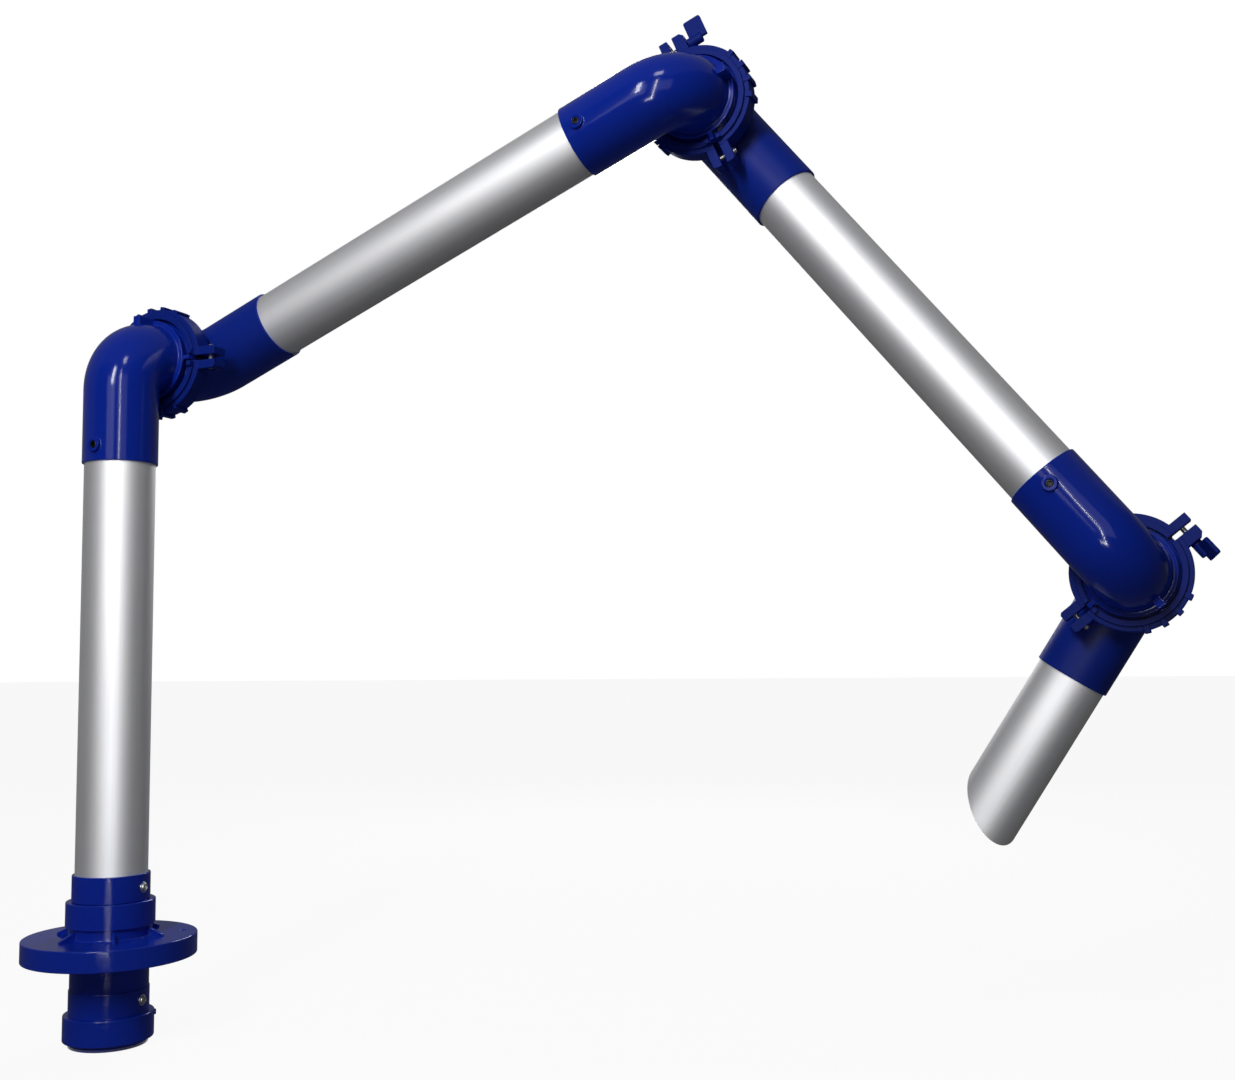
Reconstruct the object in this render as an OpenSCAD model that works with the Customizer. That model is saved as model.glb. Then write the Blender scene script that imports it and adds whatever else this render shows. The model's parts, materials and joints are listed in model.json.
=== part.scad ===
// Jointed fume extraction arm: a bench flange with a swivel, a mast and three more
// tubes, each pair of tubes joined by two facing elbows in a bolted clamp ring.
// Millimetres. The origin is the centre of the flange underside, +Z runs up the mast,
// the arm reaches out along +X, and every elbow joint turns about a line along Y.

/* [Duct tubes] */
// Outside diameter of every tube
tube_d = 75; // [60:1:100]
// Wall of every tube
tube_wall = 1.5; // [1:0.25:2.5]
// Height of the first joint above the flange underside
mast_h = 658; // [450:1:900]
// Distance between the joint axes at the two ends of an arm
arm_len = 668; // [450:1:900]
// Distance from the last joint axis to the middle of the nozzle cut
nozzle_len = 292; // [240:1:450]
// Slant of the nozzle mouth
nozzle_cut = 38; // [0:1:55]
// Turn of the nozzle mouth about its own tube
nozzle_turn = 44; // [0:1:359]

/* [Resting pose] */
// Lower arm above the horizontal
arm_rise = 22.7; // [-20:0.1:80]
// Bend between the lower and the upper arm
bend_2 = 73.9; // [0:0.1:140]
// Bend between the upper arm and the nozzle
bend_3 = 71; // [-120:0.1:120]
// Turn of each knob wing from straight outwards towards the front
knob_turn = [-30, 0, 68]; // [-40:1:90]

/* [Elbows] */
// Plastic wall around the tube sockets
elbow_wall = 2.4; // [2:0.1:5]
// Room between a tube and its socket
tube_fit = 0.1; // [0.05:0.01:0.3]
// Inside radius of the bend, measured at the outer skin
bend_inner = 4; // [2:0.5:20]
// Distance from a joint axis to the rim of an elbow
elbow_reach = 126; // [110:1:180]
// Depth of an elbow socket
socket_depth = 60; // [40:1:64]
// How far the thin collar stands out from the elbow
collar_rise = 6; // [3:0.5:8]
// Thickness of the thin collar
collar_t = 3; // [2:0.5:5]
// Gap between the thin collar and the clamp ring
collar_gap = 3; // [2:0.5:8]
// Width of the square lug on the back of an exit elbow
lug_w = 9; // [6:0.5:14]
// Length of that lug behind the thin collar
lug_len = 23; // [10:1:28]

/* [Clamp rings] */
// Thickness of the friction ring between two elbows
friction_t = 3; // [2:0.5:5]
// Thickness of the flange that the clamp ring holds
grip_flange_t = 6; // [4:0.5:9]
// How far that flange stands out from the elbow
grip_flange_rise = 13.5; // [12:0.5:18]
// Axial thickness of a clamp ring lip
lip_t = 6.3; // [5:0.1:9]
// Radial overlap of a lip on the flange
lip_grip = 4.5; // [3:0.5:6]
// Radial wall of a clamp ring outside its channel
band_wall = 7.2; // [5:0.1:9]
// Radial wall beside the raised band
step_wall = 1.7; // [1.5:0.1:4]
// Depth of the step along each side of a clamp ring
band_step = 3.5; // [2:0.5:5]
// Gap between the two halves of a clamp ring
half_gap = 6; // [4:0.5:10]
// Thickness of an ear
ear_t = 10; // [7:0.5:14]
// Thickness of the ear that a knob bears on
knob_ear_t = 13.5; // [10:0.5:16]
// Half width of an ear along the joint axis
ear_half_w = 10; // [8:0.5:10.5]
// Height of the hinge bolt above the clamp ring
hinge_rise = 9; // [6:0.5:10]
// Height of the tension bolt above the clamp ring
knob_rise = 6; // [5.5:0.5:8]
// Ear beyond the bolt axis
ear_beyond = 12; // [9:0.5:14]
// Shank diameter of the clamp bolts
bolt_d = 6; // [5:0.5:6]
// Grip teeth on each half ring
teeth = 4; // [2:1:6]
// Angle between neighbouring teeth
tooth_pitch = 17.3; // [12:0.1:20]

/* [Wing knobs] */
// Diameter of a knob hub
hub_d = 11.5; // [10:0.5:11.5]
// Length of a knob hub
hub_len = 17; // [14:0.5:20]
// Reach of the wing from the bolt axis
wing_reach = 24.5; // [16:0.5:25]
// Width of the wing along the bolt
wing_w = 20.5; // [14:0.5:21]
// Thickness of the wing
wing_t = 4.5; // [3:0.5:6]

/* [Bench flange] */
// Diameter of the bench flange
flange_d = 180; // [160:1:240]
// Thickness of the bench flange
flange_t = 22; // [18:1:30]
// Wall of the hub above the flange
hub_ring_wall = 2; // [2:0.5:5]
// Height of the hub above the flange
hub_ring_h = 12; // [12:0.5:20]
// Wall of the swivel housing around its bush
housing_wall = 3.9; // [3:0.1:8]
// Height of the swivel housing
housing_h = 26; // [20:0.5:36]
// Wall of the rotating tube collar
tube_collar_wall = 2.65; // [2.25:0.05:6]
// Height of the rotating tube collar above the housing
tube_collar_h = 28; // [24:0.5:40]
// Wall of the spigot below the flange
spigot_wall = 4.5; // [4:0.5:8]
// Length of the spigot between the flange and the duct collar
spigot_len = 32; // [20:1:60]
// Gussets around the hub
gussets = 6; // [3:1:12]
// Length of a gusset from the hub to its foot
gusset_len = 17; // [9:1:22]
// Thickness of a gusset
gusset_t = 4; // [2:0.5:6]
// Diameter of the fixing hole in the flange
fixing_hole_d = 6; // [4:0.5:10]
// Distance of the fixing hole from the rim of the flange
fixing_hole_inset = 15; // [8:1:18]

/* [Duct outlet] */
// Height of the collar under the spigot
duct_collar_h = 26; // [24:0.5:40]
// Wall of the ring at the outlet
outlet_ring_wall = 5.6; // [4:0.1:12]
// Height of the ring at the outlet
outlet_ring_h = 27; // [20:0.5:40]
// Lip below the ring
outlet_lip_h = 6; // [3:0.5:12]

/* [Hidden] */
$fn = 96;
// Fits and small shared sizes
run_fit = 0.08;      // radial room of a turning fit
clear = 0.3;         // room between curved faces of parts that move apart
face_gap = 0.1;      // room between flat faces
screw_fit = 0.05;    // radial room around a screw
bolt_fit = 0.2;      // radial room around a bolt in an ear
edge = 1;            // chamfer on the main rims
fine_edge = 0.5;     // chamfer on the thin rims
eps = 1;             // overrun of a cut past a face
far = 400;           // size of the half spaces that split a ring

// Radii that follow the tube
tube_r = tube_d / 2;
duct_r = tube_r - tube_wall;
socket_r = tube_r + tube_fit;
elbow_r = socket_r + elbow_wall;
bend_r = elbow_r + bend_inner;
collar_r = elbow_r + collar_rise;
neck_r = elbow_r + collar_rise / 2;
grip_flange_r = elbow_r + grip_flange_rise;
channel_r = grip_flange_r + clear;
lip_r = grip_flange_r - lip_grip;
step_r = channel_r + step_wall;
band_r = channel_r + band_wall;
bolt_r = bolt_d / 2;
hinge_axis_r = band_r + hinge_rise;
knob_axis_r = band_r + knob_rise;

// Places along a joint axis, from the middle plane of the clamp ring
face_y = friction_t / 2 + face_gap;
channel_y = face_y + grip_flange_t + face_gap;
clamp_y = channel_y + lip_t;
band_y = clamp_y - band_step;
half_offset = bend_r + collar_t + collar_gap + clamp_y;
joint_offset = 2 * half_offset;

// Clamp bolts, from the middle of the gap between the half rings
ear_x = half_gap / 2 + ear_t;
knob_ear_x = half_gap / 2 + knob_ear_t;
nut_flats = 10;      // width across the flats of a nut or a bolt head
nut_h = 5;           // height of a nut
head_h = 4;          // height of a bolt head
nut_sink = 0.3;      // sunk nut below the face of its ear
pocket_x = ear_x - nut_h - nut_sink;
bolt_end = 3;        // hinge bolt beyond the ear on its nut side
hub_end = 2.5;       // closed end of a knob hub
knob_play = 0.5;     // room for the tension bolt at that end
wing_beyond = 6.5;   // wing past the hub, along the bolt
ear_corner = 2.5;    // cut corner of a hinge ear
knob_ear_corner = 4; // cut corner of the ear that a knob bears on
wing_corner = 2.5;   // round corner of a wing

// Grub screws
grub_r = 4;
hex_flats = 4;       // width across the flats of a hex socket
grub_socket = 2.5;   // depth of that socket in a grub screw
grub_sink = 0.4;     // grub screw below the face of its boss
boss_r = 7.75;
boss_rise = 3;
boss_back = 17;      // boss axis from the rim of its elbow

// Places along a tube, from its joint axis
tube_stop = elbow_reach - socket_depth;
boss_x = elbow_reach - boss_back;

// Washer-head screws of the two collars
collar_screw_r = 3;
washer_head_r = 5.85;
washer_head_h = 0.9;
button_r = 4.6;
button_top_r = 3.4;
button_h = 2;
collar_screw_turn = 5;
screw_inside = 2;    // tip of a collar screw inside the duct

// Teeth, pegs and keys
tooth_w = 6.5;
tooth_rise = 3;
peg_w = 5.5;
peg_rise = 4;
peg_seat = 0.5;      // peg outside the bore of the lip
key_half_w = half_gap / 2 - fine_edge;
key_grip = 2.1;      // key between the half rings, along the joint axis

// Bench unit, from the duct outwards
journal_wall = 1.8;
journal_r = socket_r + journal_wall;
clip_depth = 0.8;    // groove of the retaining clip
clip_rise = 1.2;     // clip outside the journal
clip_gap = 6;        // opening of the spring clip
clip_t = 1.6;
clip_room = 0.4;     // room around and above the clip
floor_room = 0.6;    // room around the journal in the housing floor
pocket_r = journal_r + clip_rise + clip_room;
hub_ring_r = pocket_r + hub_ring_wall;
bush_r = journal_r + run_fit;
bush_wall = 2.5;
bush_bore_r = bush_r + bush_wall + face_gap;
housing_r = bush_bore_r + housing_wall;
tube_collar_r = socket_r + tube_collar_wall;
seal_room = 0.5;     // room beside the seal
spigot_r = duct_r + spigot_wall;
spigot_end_wall = 2;
spigot_end_r = duct_r + spigot_end_wall;
sleeve_step = 0.4;   // step out from the spigot to the sleeve, and on to the duct collar
duct_sleeve_r = spigot_r + sleeve_step;
duct_collar_r = duct_sleeve_r + sleeve_step;
outlet_ring_r = duct_sleeve_r + outlet_ring_wall;
flange_r = flange_d / 2;
fixing_hole_turn = 42;
gusset_r = hub_ring_r + gusset_len;
gusset_start = 15;   // turn of the first gusset
gusset_foot_h = 2;
gusset_drop = 2;     // gusset below the top of the hub

// Heights of the bench unit
hub_top = flange_t + hub_ring_h;
gusset_h = hub_ring_h - gusset_drop;
housing_floor_t = 2;
housing_top = hub_top + housing_h;
bush_proud = 0.2;    // bush above the housing, where the collar runs on it
collar_foot = housing_top + bush_proud + face_gap;
collar_top = housing_top + tube_collar_h;
pocket_depth = 16;
pocket_z = hub_top - pocket_depth;
seal_t = 4;
seal_play = 0.2;     // room above the seal
journal_foot = pocket_z + seal_t + seal_play;
mast_rest_t = 4;     // floor under the mast tube
mast_foot = journal_foot + mast_rest_t;
clip_z = hub_top - clip_t - clip_room;
duct_collar_top = -spigot_len;
duct_collar_foot = duct_collar_top - duct_collar_h;
duct_screw_drop = 11.7;  // screw below the top of the duct collar
duct_screw_z = duct_collar_top - duct_screw_drop;
duct_rest_t = 2;     // half of the floor between the spigot and the duct
spigot_end = duct_collar_foot + duct_rest_t;
duct_stop = duct_collar_foot - duct_rest_t;
outlet_ring_foot = duct_collar_foot - outlet_ring_h;
outlet_foot = outlet_ring_foot - outlet_lip_h;

// Small round stop on the outlet ring
stop_turn = 40;
stop_r = 3;
stop_rise = 1.8;
stop_drop = 4;       // stop below the top of the ring

// Resting pose: the direction of each tube away from the bench, and each joint axis
arm_dir = [90, arm_rise, arm_rise - bend_2, arm_rise - bend_2 - bend_3];
function reach(a, s) = [s * cos(a), 0, s * sin(a)];
joint_1 = [0, 0, mast_h];
joint_2 = joint_1 + reach(arm_dir[1], arm_len);
joint_3 = joint_2 + reach(arm_dir[2], arm_len);
joint_pos = [joint_1, joint_2, joint_3];

JOINT_PIECES = ["near_clamp", "far_clamp", "hinge_bolt", "hinge_nut", "tension_bolt",
    "friction_ring", "wing_knob"];
ARMS = ["lower_arm", "upper_arm"];

// Frames

// Start of tube k: its joint axis is the origin and the tube runs along +X
module tube_frame(k) {
    translate(joint_pos[k - 1] + [0, k * joint_offset, 0]) rotate([0, -arm_dir[k], 0])
        children();
}

// Far end of tube k: its joint axis is the origin and the tube comes in along +X
module exit_frame(k) {
    translate(joint_pos[k] + [0, k * joint_offset, 0]) rotate([0, -arm_dir[k] - 180, 0])
        children();
}

// Middle of clamp ring k, turned as the exit elbow in front of it
module ring_frame(k) {
    translate([0, half_offset, 0]) exit_frame(k - 1) children();
}

// A collar screw's place: its axis is the X axis
module screw_frame(z) {
    rotate([0, 0, collar_screw_turn]) translate([0, 0, z]) children();
}

// A profile of [radius, distance] points turned about the X or the Y axis
module turned_x(points) {
    rotate([0, 90, 0]) rotate_extrude() polygon(points);
}
module turned_y(points) {
    rotate([-90, 0, 0]) rotate_extrude() polygon(points);
}

// A round or a six-sided bar along X or Y, between two places
module bar_x(r, from, to) {
    translate([from, 0, 0]) rotate([0, 90, 0]) cylinder(r = r, h = to - from);
}
module bar_y(r, from, to) {
    translate([0, from, 0]) rotate([-90, 0, 0]) cylinder(r = r, h = to - from);
}
module hex_x(flats, from, to) {
    translate([from, 0, 0]) rotate([0, 90, 0])
        cylinder(r = flats / sqrt(3), h = to - from, $fn = 6);
}
module hex_y(flats, from, to) {
    translate([0, from, 0]) rotate([-90, 0, 0])
        cylinder(r = flats / sqrt(3), h = to - from, $fn = 6);
}

// An upright ring on the mast axis
module ring_z(outer, inner, from, height) {
    translate([0, 0, from]) difference() {
        cylinder(r = outer, h = height);
        translate([0, 0, -eps]) cylinder(r = inner, h = height + 2 * eps);
    }
}

// A tube along X
module tube_x(from, to) {
    turned_x([[duct_r, from], [tube_r, from], [tube_r, to], [duct_r, to]]);
}

// Elbows: the tube comes in along +X and the outlet looks along +Y

module bend(outer, inner) {
    translate([bend_r, bend_r, 0]) rotate([0, 0, 180]) rotate_extrude(angle = 90)
        translate([bend_r, 0]) difference() {
            circle(r = outer);
            if (inner > 0) circle(r = inner);
        }
}

module elbow_sleeve() {
    turned_x([[duct_r, bend_r], [elbow_r, bend_r], [elbow_r, elbow_reach - fine_edge],
        [elbow_r - fine_edge, elbow_reach], [socket_r, elbow_reach],
        [socket_r, tube_stop], [duct_r, tube_stop]]);
}

module elbow_neck() {
    collar_end = bend_r + collar_t;
    grip_face = half_offset - face_y;
    grip_back = grip_face - grip_flange_t;
    turned_y([[duct_r, bend_r], [collar_r - edge, bend_r], [collar_r, bend_r + edge],
        [collar_r, collar_end - edge], [collar_r - edge, collar_end],
        [neck_r, collar_end], [neck_r, grip_back], [grip_flange_r, grip_back],
        [grip_flange_r, grip_face], [duct_r, grip_face]]);
}

// The boss and its screw stand on the side away from the outlet
module elbow() {
    boss_face = elbow_r + boss_rise;
    boss_root = socket_r + elbow_wall / 4;
    difference() {
        union() {
            elbow_sleeve();
            bend(elbow_r, duct_r);
            elbow_neck();
            translate([boss_x, 0, 0]) bar_y(boss_r, -boss_face, -boss_root);
        }
        translate([boss_x, 0, 0]) bar_y(grub_r + screw_fit, -boss_face - eps, -duct_r);
    }
}

module exit_elbow() {
    lug_root = duct_r - lug_w / 3;
    lug_face = collar_r + edge;
    color([0.02, 0.13, 0.55]) union() {
        elbow();
        // Square lug on the back of the bend
        difference() {
            translate([-lug_face, bend_r - lug_len, -lug_w / 2])
                cube([lug_face - lug_root, lug_len, lug_w]);
            bend(elbow_r - elbow_wall / 2, 0);
        }
        // Key that keeps the clamp ring from turning on this elbow
        translate([-key_half_w, bend_r + edge, neck_r - edge])
            cube([2 * key_half_w, collar_t + collar_gap + key_grip, step_r - neck_r]);
    }
}

module entry_elbow() {
    color([0.03, 0.16, 0.58]) mirror([0, 1, 0]) elbow();
}

module grub_screw() {
    top = elbow_r + boss_rise - grub_sink;
    translate([boss_x, 0, 0]) color("silver") difference() {
        bar_y(grub_r, -top, -tube_r - face_gap);
        hex_y(hex_flats, -top - eps, -top + grub_socket);
    }
}

// Clamp ring: side = 1 is the half around the exit elbow's tube, side = -1 the other

// The bolt hole in an ear, with a pocket for a nut or a bolt head
module ear_hole(axis_z, ear_end, pocket) {
    translate([0, 0, axis_z]) {
        bar_x(bolt_r + bolt_fit, 0, ear_end + eps);
        if (pocket) hex_x(nut_flats + 2 * bolt_fit, pocket_x, ear_end + eps);
    }
}

// An ear beside the gap between the half rings, with its outer corner cut
module ear(ear_end, ear_r, cut) {
    root = channel_r + edge;
    rotate([90, 0, 0]) linear_extrude(2 * ear_half_w, center = true) polygon([
        [half_gap / 2, root], [half_gap / 2, ear_r], [ear_end - cut, ear_r],
        [ear_end, ear_r - cut], [ear_end, root]]);
}

// Half of the turned ring, whose channel holds the two elbow flanges
module half_band() {
    intersection() {
        turned_y([[lip_r, -clamp_y], [step_r, -clamp_y], [step_r, -band_y],
            [band_r, -band_y], [band_r, band_y], [step_r, band_y],
            [step_r, clamp_y], [lip_r, clamp_y], [lip_r, channel_y],
            [channel_r, channel_y], [channel_r, -channel_y], [lip_r, -channel_y]]);
        translate([half_gap / 2, -far / 2, -far / 2]) cube(far);
    }
}

module clamp_half(side) {
    bears = side < 0;
    knob_end = bears ? knob_ear_x : ear_x;
    color([0.04, 0.18, 0.6]) mirror([side < 0 ? 1 : 0, 0, 0]) difference() {
        union() {
            half_band();
            ear(ear_x, hinge_axis_r + ear_beyond, ear_corner);
            mirror([0, 0, 1]) ear(knob_end, knob_axis_r + ear_beyond,
                bears ? knob_ear_corner : fine_edge);
            // Teeth that a hand grips
            for (i = [0:teeth - 1]) rotate([0, (i - (teeth - 1) / 2) * tooth_pitch, 0])
                translate([step_r, -band_y - edge, -tooth_w / 2])
                    cube([band_r + tooth_rise - step_r, 2 * (band_y + edge), tooth_w]);
            // Peg beside the key of the exit elbow
            translate([half_gap / 2 + edge, -clamp_y - peg_rise, lip_r + peg_seat])
                cube([peg_w, peg_rise + eps, peg_w]);
        }
        ear_hole(hinge_axis_r, ear_x, true);
        ear_hole(-knob_axis_r, knob_end, !bears);
    }
}

// Bolts and nuts lie along X, with the heads at the near half
module bolt_head() {
    hex_x(nut_flats, pocket_x, pocket_x + head_h);
}

module hinge_bolt() {
    color("silver") translate([0, 0, hinge_axis_r]) union() {
        bar_x(bolt_r, -ear_x - bolt_end, pocket_x + eps);
        bolt_head();
    }
}

module hinge_nut() {
    color("silver") translate([0, 0, hinge_axis_r]) difference() {
        hex_x(nut_flats, -pocket_x - nut_h, -pocket_x);
        bar_x(bolt_r + screw_fit, -ear_x - eps, -pocket_x + eps);
    }
}

module tension_bolt() {
    color("silver") translate([0, 0, -knob_axis_r]) union() {
        bar_x(bolt_r, -knob_ear_x - hub_len + hub_end + knob_play, pocket_x + eps);
        bolt_head();
    }
}

module friction_ring() {
    inner = duct_r + edge;
    outer = grip_flange_r - edge;
    color([0.12, 0.12, 0.13]) turned_y([[inner, -friction_t / 2],
        [outer, -friction_t / 2], [outer, friction_t / 2], [inner, friction_t / 2]]);
}

// The outline of a wing, from the hub axis down and from its outer end to the ring
module wing_outline() {
    translate([0, wing_corner - wing_reach]) square([wing_w, wing_reach - wing_corner]);
    translate([wing_corner, -wing_reach]) square([wing_w - 2 * wing_corner, wing_reach]);
    for (x = [wing_corner, wing_w - wing_corner])
        translate([x, wing_corner - wing_reach]) circle(r = wing_corner);
}

// The wing hangs below the bolt axis before the knob is turned
module wing_knob(turn) {
    hub_face = -knob_ear_x - clear;
    color([0.04, 0.18, 0.6]) translate([0, 0, -knob_axis_r]) rotate([-turn, 0, 0])
        difference() {
            union() {
                bar_x(hub_d / 2, hub_face - hub_len, hub_face);
                translate([hub_face - hub_len - wing_beyond, 0, 0]) rotate([90, 0, 0])
                    linear_extrude(wing_t, center = true) wing_outline();
            }
            bar_x(bolt_r + screw_fit, hub_face - hub_len + hub_end, hub_face + eps);
        }
}

// Bench unit

module gusset() {
    root = hub_ring_r - edge;
    rotate([90, 0, 0]) linear_extrude(gusset_t, center = true) polygon([
        [root, flange_t - edge], [gusset_r, flange_t - edge],
        [gusset_r, flange_t + gusset_foot_h], [root, flange_t + gusset_h]]);
}

module base_flange() {
    color([0.03, 0.12, 0.5]) difference() {
        union() {
            rotate_extrude() polygon([
                [duct_r, spigot_end], [spigot_end_r, spigot_end],
                [spigot_end_r, duct_collar_top], [spigot_r, duct_collar_top],
                [spigot_r, 0], [flange_r - edge, 0], [flange_r, edge],
                [flange_r, flange_t - edge], [flange_r - edge, flange_t],
                [hub_ring_r + edge, flange_t], [hub_ring_r, flange_t + edge],
                [hub_ring_r, hub_top], [pocket_r, hub_top],
                [pocket_r, pocket_z], [duct_r, pocket_z]]);
            for (i = [0:gussets - 1]) rotate([0, 0, gusset_start + i * 360 / gussets])
                gusset();
        }
        rotate([0, 0, fixing_hole_turn]) translate([flange_r - fixing_hole_inset, 0, -eps])
            cylinder(d = fixing_hole_d, h = flange_t + 2 * eps);
        screw_frame(duct_screw_z)
            bar_x(collar_screw_r + screw_fit, duct_r - eps, spigot_end_r + eps);
    }
}

module swivel_housing() {
    floor_r = journal_r + floor_room;
    floor_top = hub_top + housing_floor_t;
    color([0.03, 0.12, 0.5]) rotate_extrude() polygon([
        [floor_r, hub_top], [housing_r, hub_top],
        [housing_r, housing_top - edge], [housing_r - edge, housing_top],
        [bush_bore_r, housing_top], [bush_bore_r, floor_top], [floor_r, floor_top]]);
}

module swivel_bush() {
    color("ivory") ring_z(bush_r + bush_wall, bush_r, hub_top + housing_floor_t,
        housing_h - housing_floor_t + bush_proud);
}

module swivel_seal() {
    color([0.1, 0.1, 0.1]) ring_z(pocket_r - seal_room, duct_r + seal_room, pocket_z, seal_t);
}

module tube_collar() {
    groove_r = journal_r - clip_depth;
    groove_foot = clip_z - face_gap;
    groove_top = clip_z + clip_t + face_gap;
    color([0.03, 0.12, 0.5]) difference() {
        rotate_extrude() polygon([
            [duct_r, journal_foot], [journal_r, journal_foot],
            [journal_r, groove_foot], [groove_r, groove_foot],
            [groove_r, groove_top], [journal_r, groove_top],
            [journal_r, collar_foot], [tube_collar_r, collar_foot],
            [tube_collar_r, collar_top - fine_edge],
            [tube_collar_r - fine_edge, collar_top],
            [socket_r, collar_top], [socket_r, mast_foot], [duct_r, mast_foot]]);
        screw_frame(collar_top - tube_collar_h / 2)
            bar_x(collar_screw_r + screw_fit, duct_r, tube_collar_r + eps);
    }
}

module retaining_clip() {
    inner = journal_r - clip_depth + screw_fit;
    outer = journal_r + clip_rise;
    color("silver") difference() {
        ring_z(outer, inner, clip_z, clip_t);
        // Gap of the spring clip
        translate([inner - eps, -clip_gap / 2, clip_z - eps])
            cube([outer - inner + 2 * eps, clip_gap, clip_t + 2 * eps]);
    }
}

// Screw with a washer head that sits at x = seat
module collar_screw(seat) {
    tip = duct_r - screw_inside;
    head = seat + washer_head_h;
    color("silver") difference() {
        turned_x([[0, tip], [collar_screw_r, tip], [collar_screw_r, seat],
            [washer_head_r, seat], [washer_head_r, head], [button_r, head],
            [button_top_r, head + button_h], [0, head + button_h]]);
        hex_x(hex_flats, head, head + button_h + eps);
    }
}

module tube_collar_screw() {
    screw_frame(collar_top - tube_collar_h / 2) collar_screw(tube_collar_r + face_gap);
}

module duct_collar_screw() {
    screw_frame(duct_screw_z) collar_screw(duct_collar_r + face_gap);
}

module duct_collar() {
    bore_r = spigot_end_r + face_gap;
    bore_foot = spigot_end - 2 * face_gap;
    color([0.03, 0.12, 0.5]) difference() {
        rotate_extrude() polygon([
            [socket_r, outlet_foot], [duct_sleeve_r - edge, outlet_foot],
            [duct_sleeve_r, outlet_foot + edge], [duct_sleeve_r, duct_collar_foot],
            [duct_collar_r, duct_collar_foot], [duct_collar_r, duct_collar_top],
            [bore_r, duct_collar_top], [bore_r, bore_foot], [duct_r, bore_foot],
            [duct_r, duct_stop], [socket_r, duct_stop]]);
        screw_frame(duct_screw_z)
            bar_x(collar_screw_r + screw_fit, duct_r, duct_collar_r + eps);
    }
}

module outlet_ring() {
    stop_z = duct_collar_foot - stop_drop;
    color([0.03, 0.12, 0.5]) difference() {
        union() {
            rotate_extrude() polygon([
                [duct_sleeve_r - edge, outlet_ring_foot],
                [outlet_ring_r - edge, outlet_ring_foot],
                [outlet_ring_r, outlet_ring_foot + edge],
                [outlet_ring_r, duct_collar_foot - edge],
                [outlet_ring_r - edge, duct_collar_foot],
                [duct_sleeve_r - edge, duct_collar_foot]]);
            rotate([0, 0, stop_turn]) translate([0, 0, stop_z])
                bar_x(stop_r, outlet_ring_r - stop_r, outlet_ring_r + stop_rise);
        }
        translate([0, 0, outlet_ring_foot - eps])
            cylinder(r = duct_sleeve_r + screw_fit, h = outlet_ring_h + 2 * eps);
    }
}

// Tubes

module mast_tube() {
    from = mast_foot + face_gap;
    color([0.8, 0.8, 0.82]) difference() {
        ring_z(tube_r, duct_r, from, mast_h - tube_stop - face_gap - from);
        screw_frame(collar_top - tube_collar_h / 2)
            bar_x(collar_screw_r + screw_fit, duct_r - eps, tube_r + eps);
    }
}

module arm_tube(k) {
    color([0.8, 0.8, 0.82]) tube_frame(k)
        tube_x(tube_stop + face_gap, arm_len - tube_stop - face_gap);
}

module nozzle_tube() {
    color([0.8, 0.8, 0.82]) tube_frame(3) difference() {
        tube_x(tube_stop + face_gap, nozzle_len + tube_d);
        // The shortest side of the mouth starts on +Y and is turned about the tube
        translate([nozzle_len, 0, 0]) rotate([-nozzle_turn, 0, 0])
            rotate([0, 0, nozzle_cut]) translate([0, -far / 2, -far / 2]) cube(far);
    }
}

base_flange();
swivel_housing();
swivel_bush();
swivel_seal();
duct_collar();
outlet_ring();
duct_collar_screw();
tube_collar();
retaining_clip();
tube_collar_screw();
mast_tube();
exit_frame(0) exit_elbow();  // mast_elbow
exit_frame(0) grub_screw();  // mast_grub_screw
for (k = [1:2]) {
    arm = ARMS[k - 1];
    tube_frame(k) entry_elbow();
    arm_tube(k);
    exit_frame(k) exit_elbow();
    union() {
        tube_frame(k) mirror([0, 1, 0]) grub_screw();
        exit_frame(k) grub_screw();
    }
}
tube_frame(3) entry_elbow();  // nozzle_elbow
nozzle_tube();
tube_frame(3) mirror([0, 1, 0]) grub_screw();  // nozzle_grub_screw
for (k = [1:3]) {
    joint = str("joint_", k);
    ring_frame(k) clamp_half(1);
    ring_frame(k) clamp_half(-1);
    ring_frame(k) hinge_bolt();
    ring_frame(k) hinge_nut();
    ring_frame(k) tension_bolt();
    ring_frame(k) friction_ring();
    union() {
        ring_frame(k) wing_knob(knob_turn[k - 1]);
    }
}
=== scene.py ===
import json
import logging
import math
from dataclasses import dataclass, field
from enum import Enum
from typing import Any, Sequence

import bpy
import numpy as np
from mathutils import Matrix, Vector


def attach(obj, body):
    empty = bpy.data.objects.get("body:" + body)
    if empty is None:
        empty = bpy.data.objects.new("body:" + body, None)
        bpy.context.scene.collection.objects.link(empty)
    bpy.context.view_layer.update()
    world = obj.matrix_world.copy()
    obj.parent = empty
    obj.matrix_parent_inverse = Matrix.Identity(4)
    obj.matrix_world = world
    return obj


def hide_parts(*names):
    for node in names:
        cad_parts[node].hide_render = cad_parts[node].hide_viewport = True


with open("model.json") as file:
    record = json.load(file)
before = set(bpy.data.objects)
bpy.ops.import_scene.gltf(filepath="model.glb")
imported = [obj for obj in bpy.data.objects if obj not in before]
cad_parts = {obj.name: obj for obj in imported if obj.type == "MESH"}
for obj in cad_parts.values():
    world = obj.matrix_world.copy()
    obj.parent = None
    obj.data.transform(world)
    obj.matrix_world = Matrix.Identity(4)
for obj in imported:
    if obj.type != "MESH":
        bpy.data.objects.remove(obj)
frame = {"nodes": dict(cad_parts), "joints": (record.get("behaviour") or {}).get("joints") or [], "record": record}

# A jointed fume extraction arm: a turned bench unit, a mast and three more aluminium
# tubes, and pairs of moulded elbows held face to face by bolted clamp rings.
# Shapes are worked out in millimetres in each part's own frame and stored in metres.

Array = np.ndarray
LOG = logging.getLogger("fume_arm")
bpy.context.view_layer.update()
MM = 0.001
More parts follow.
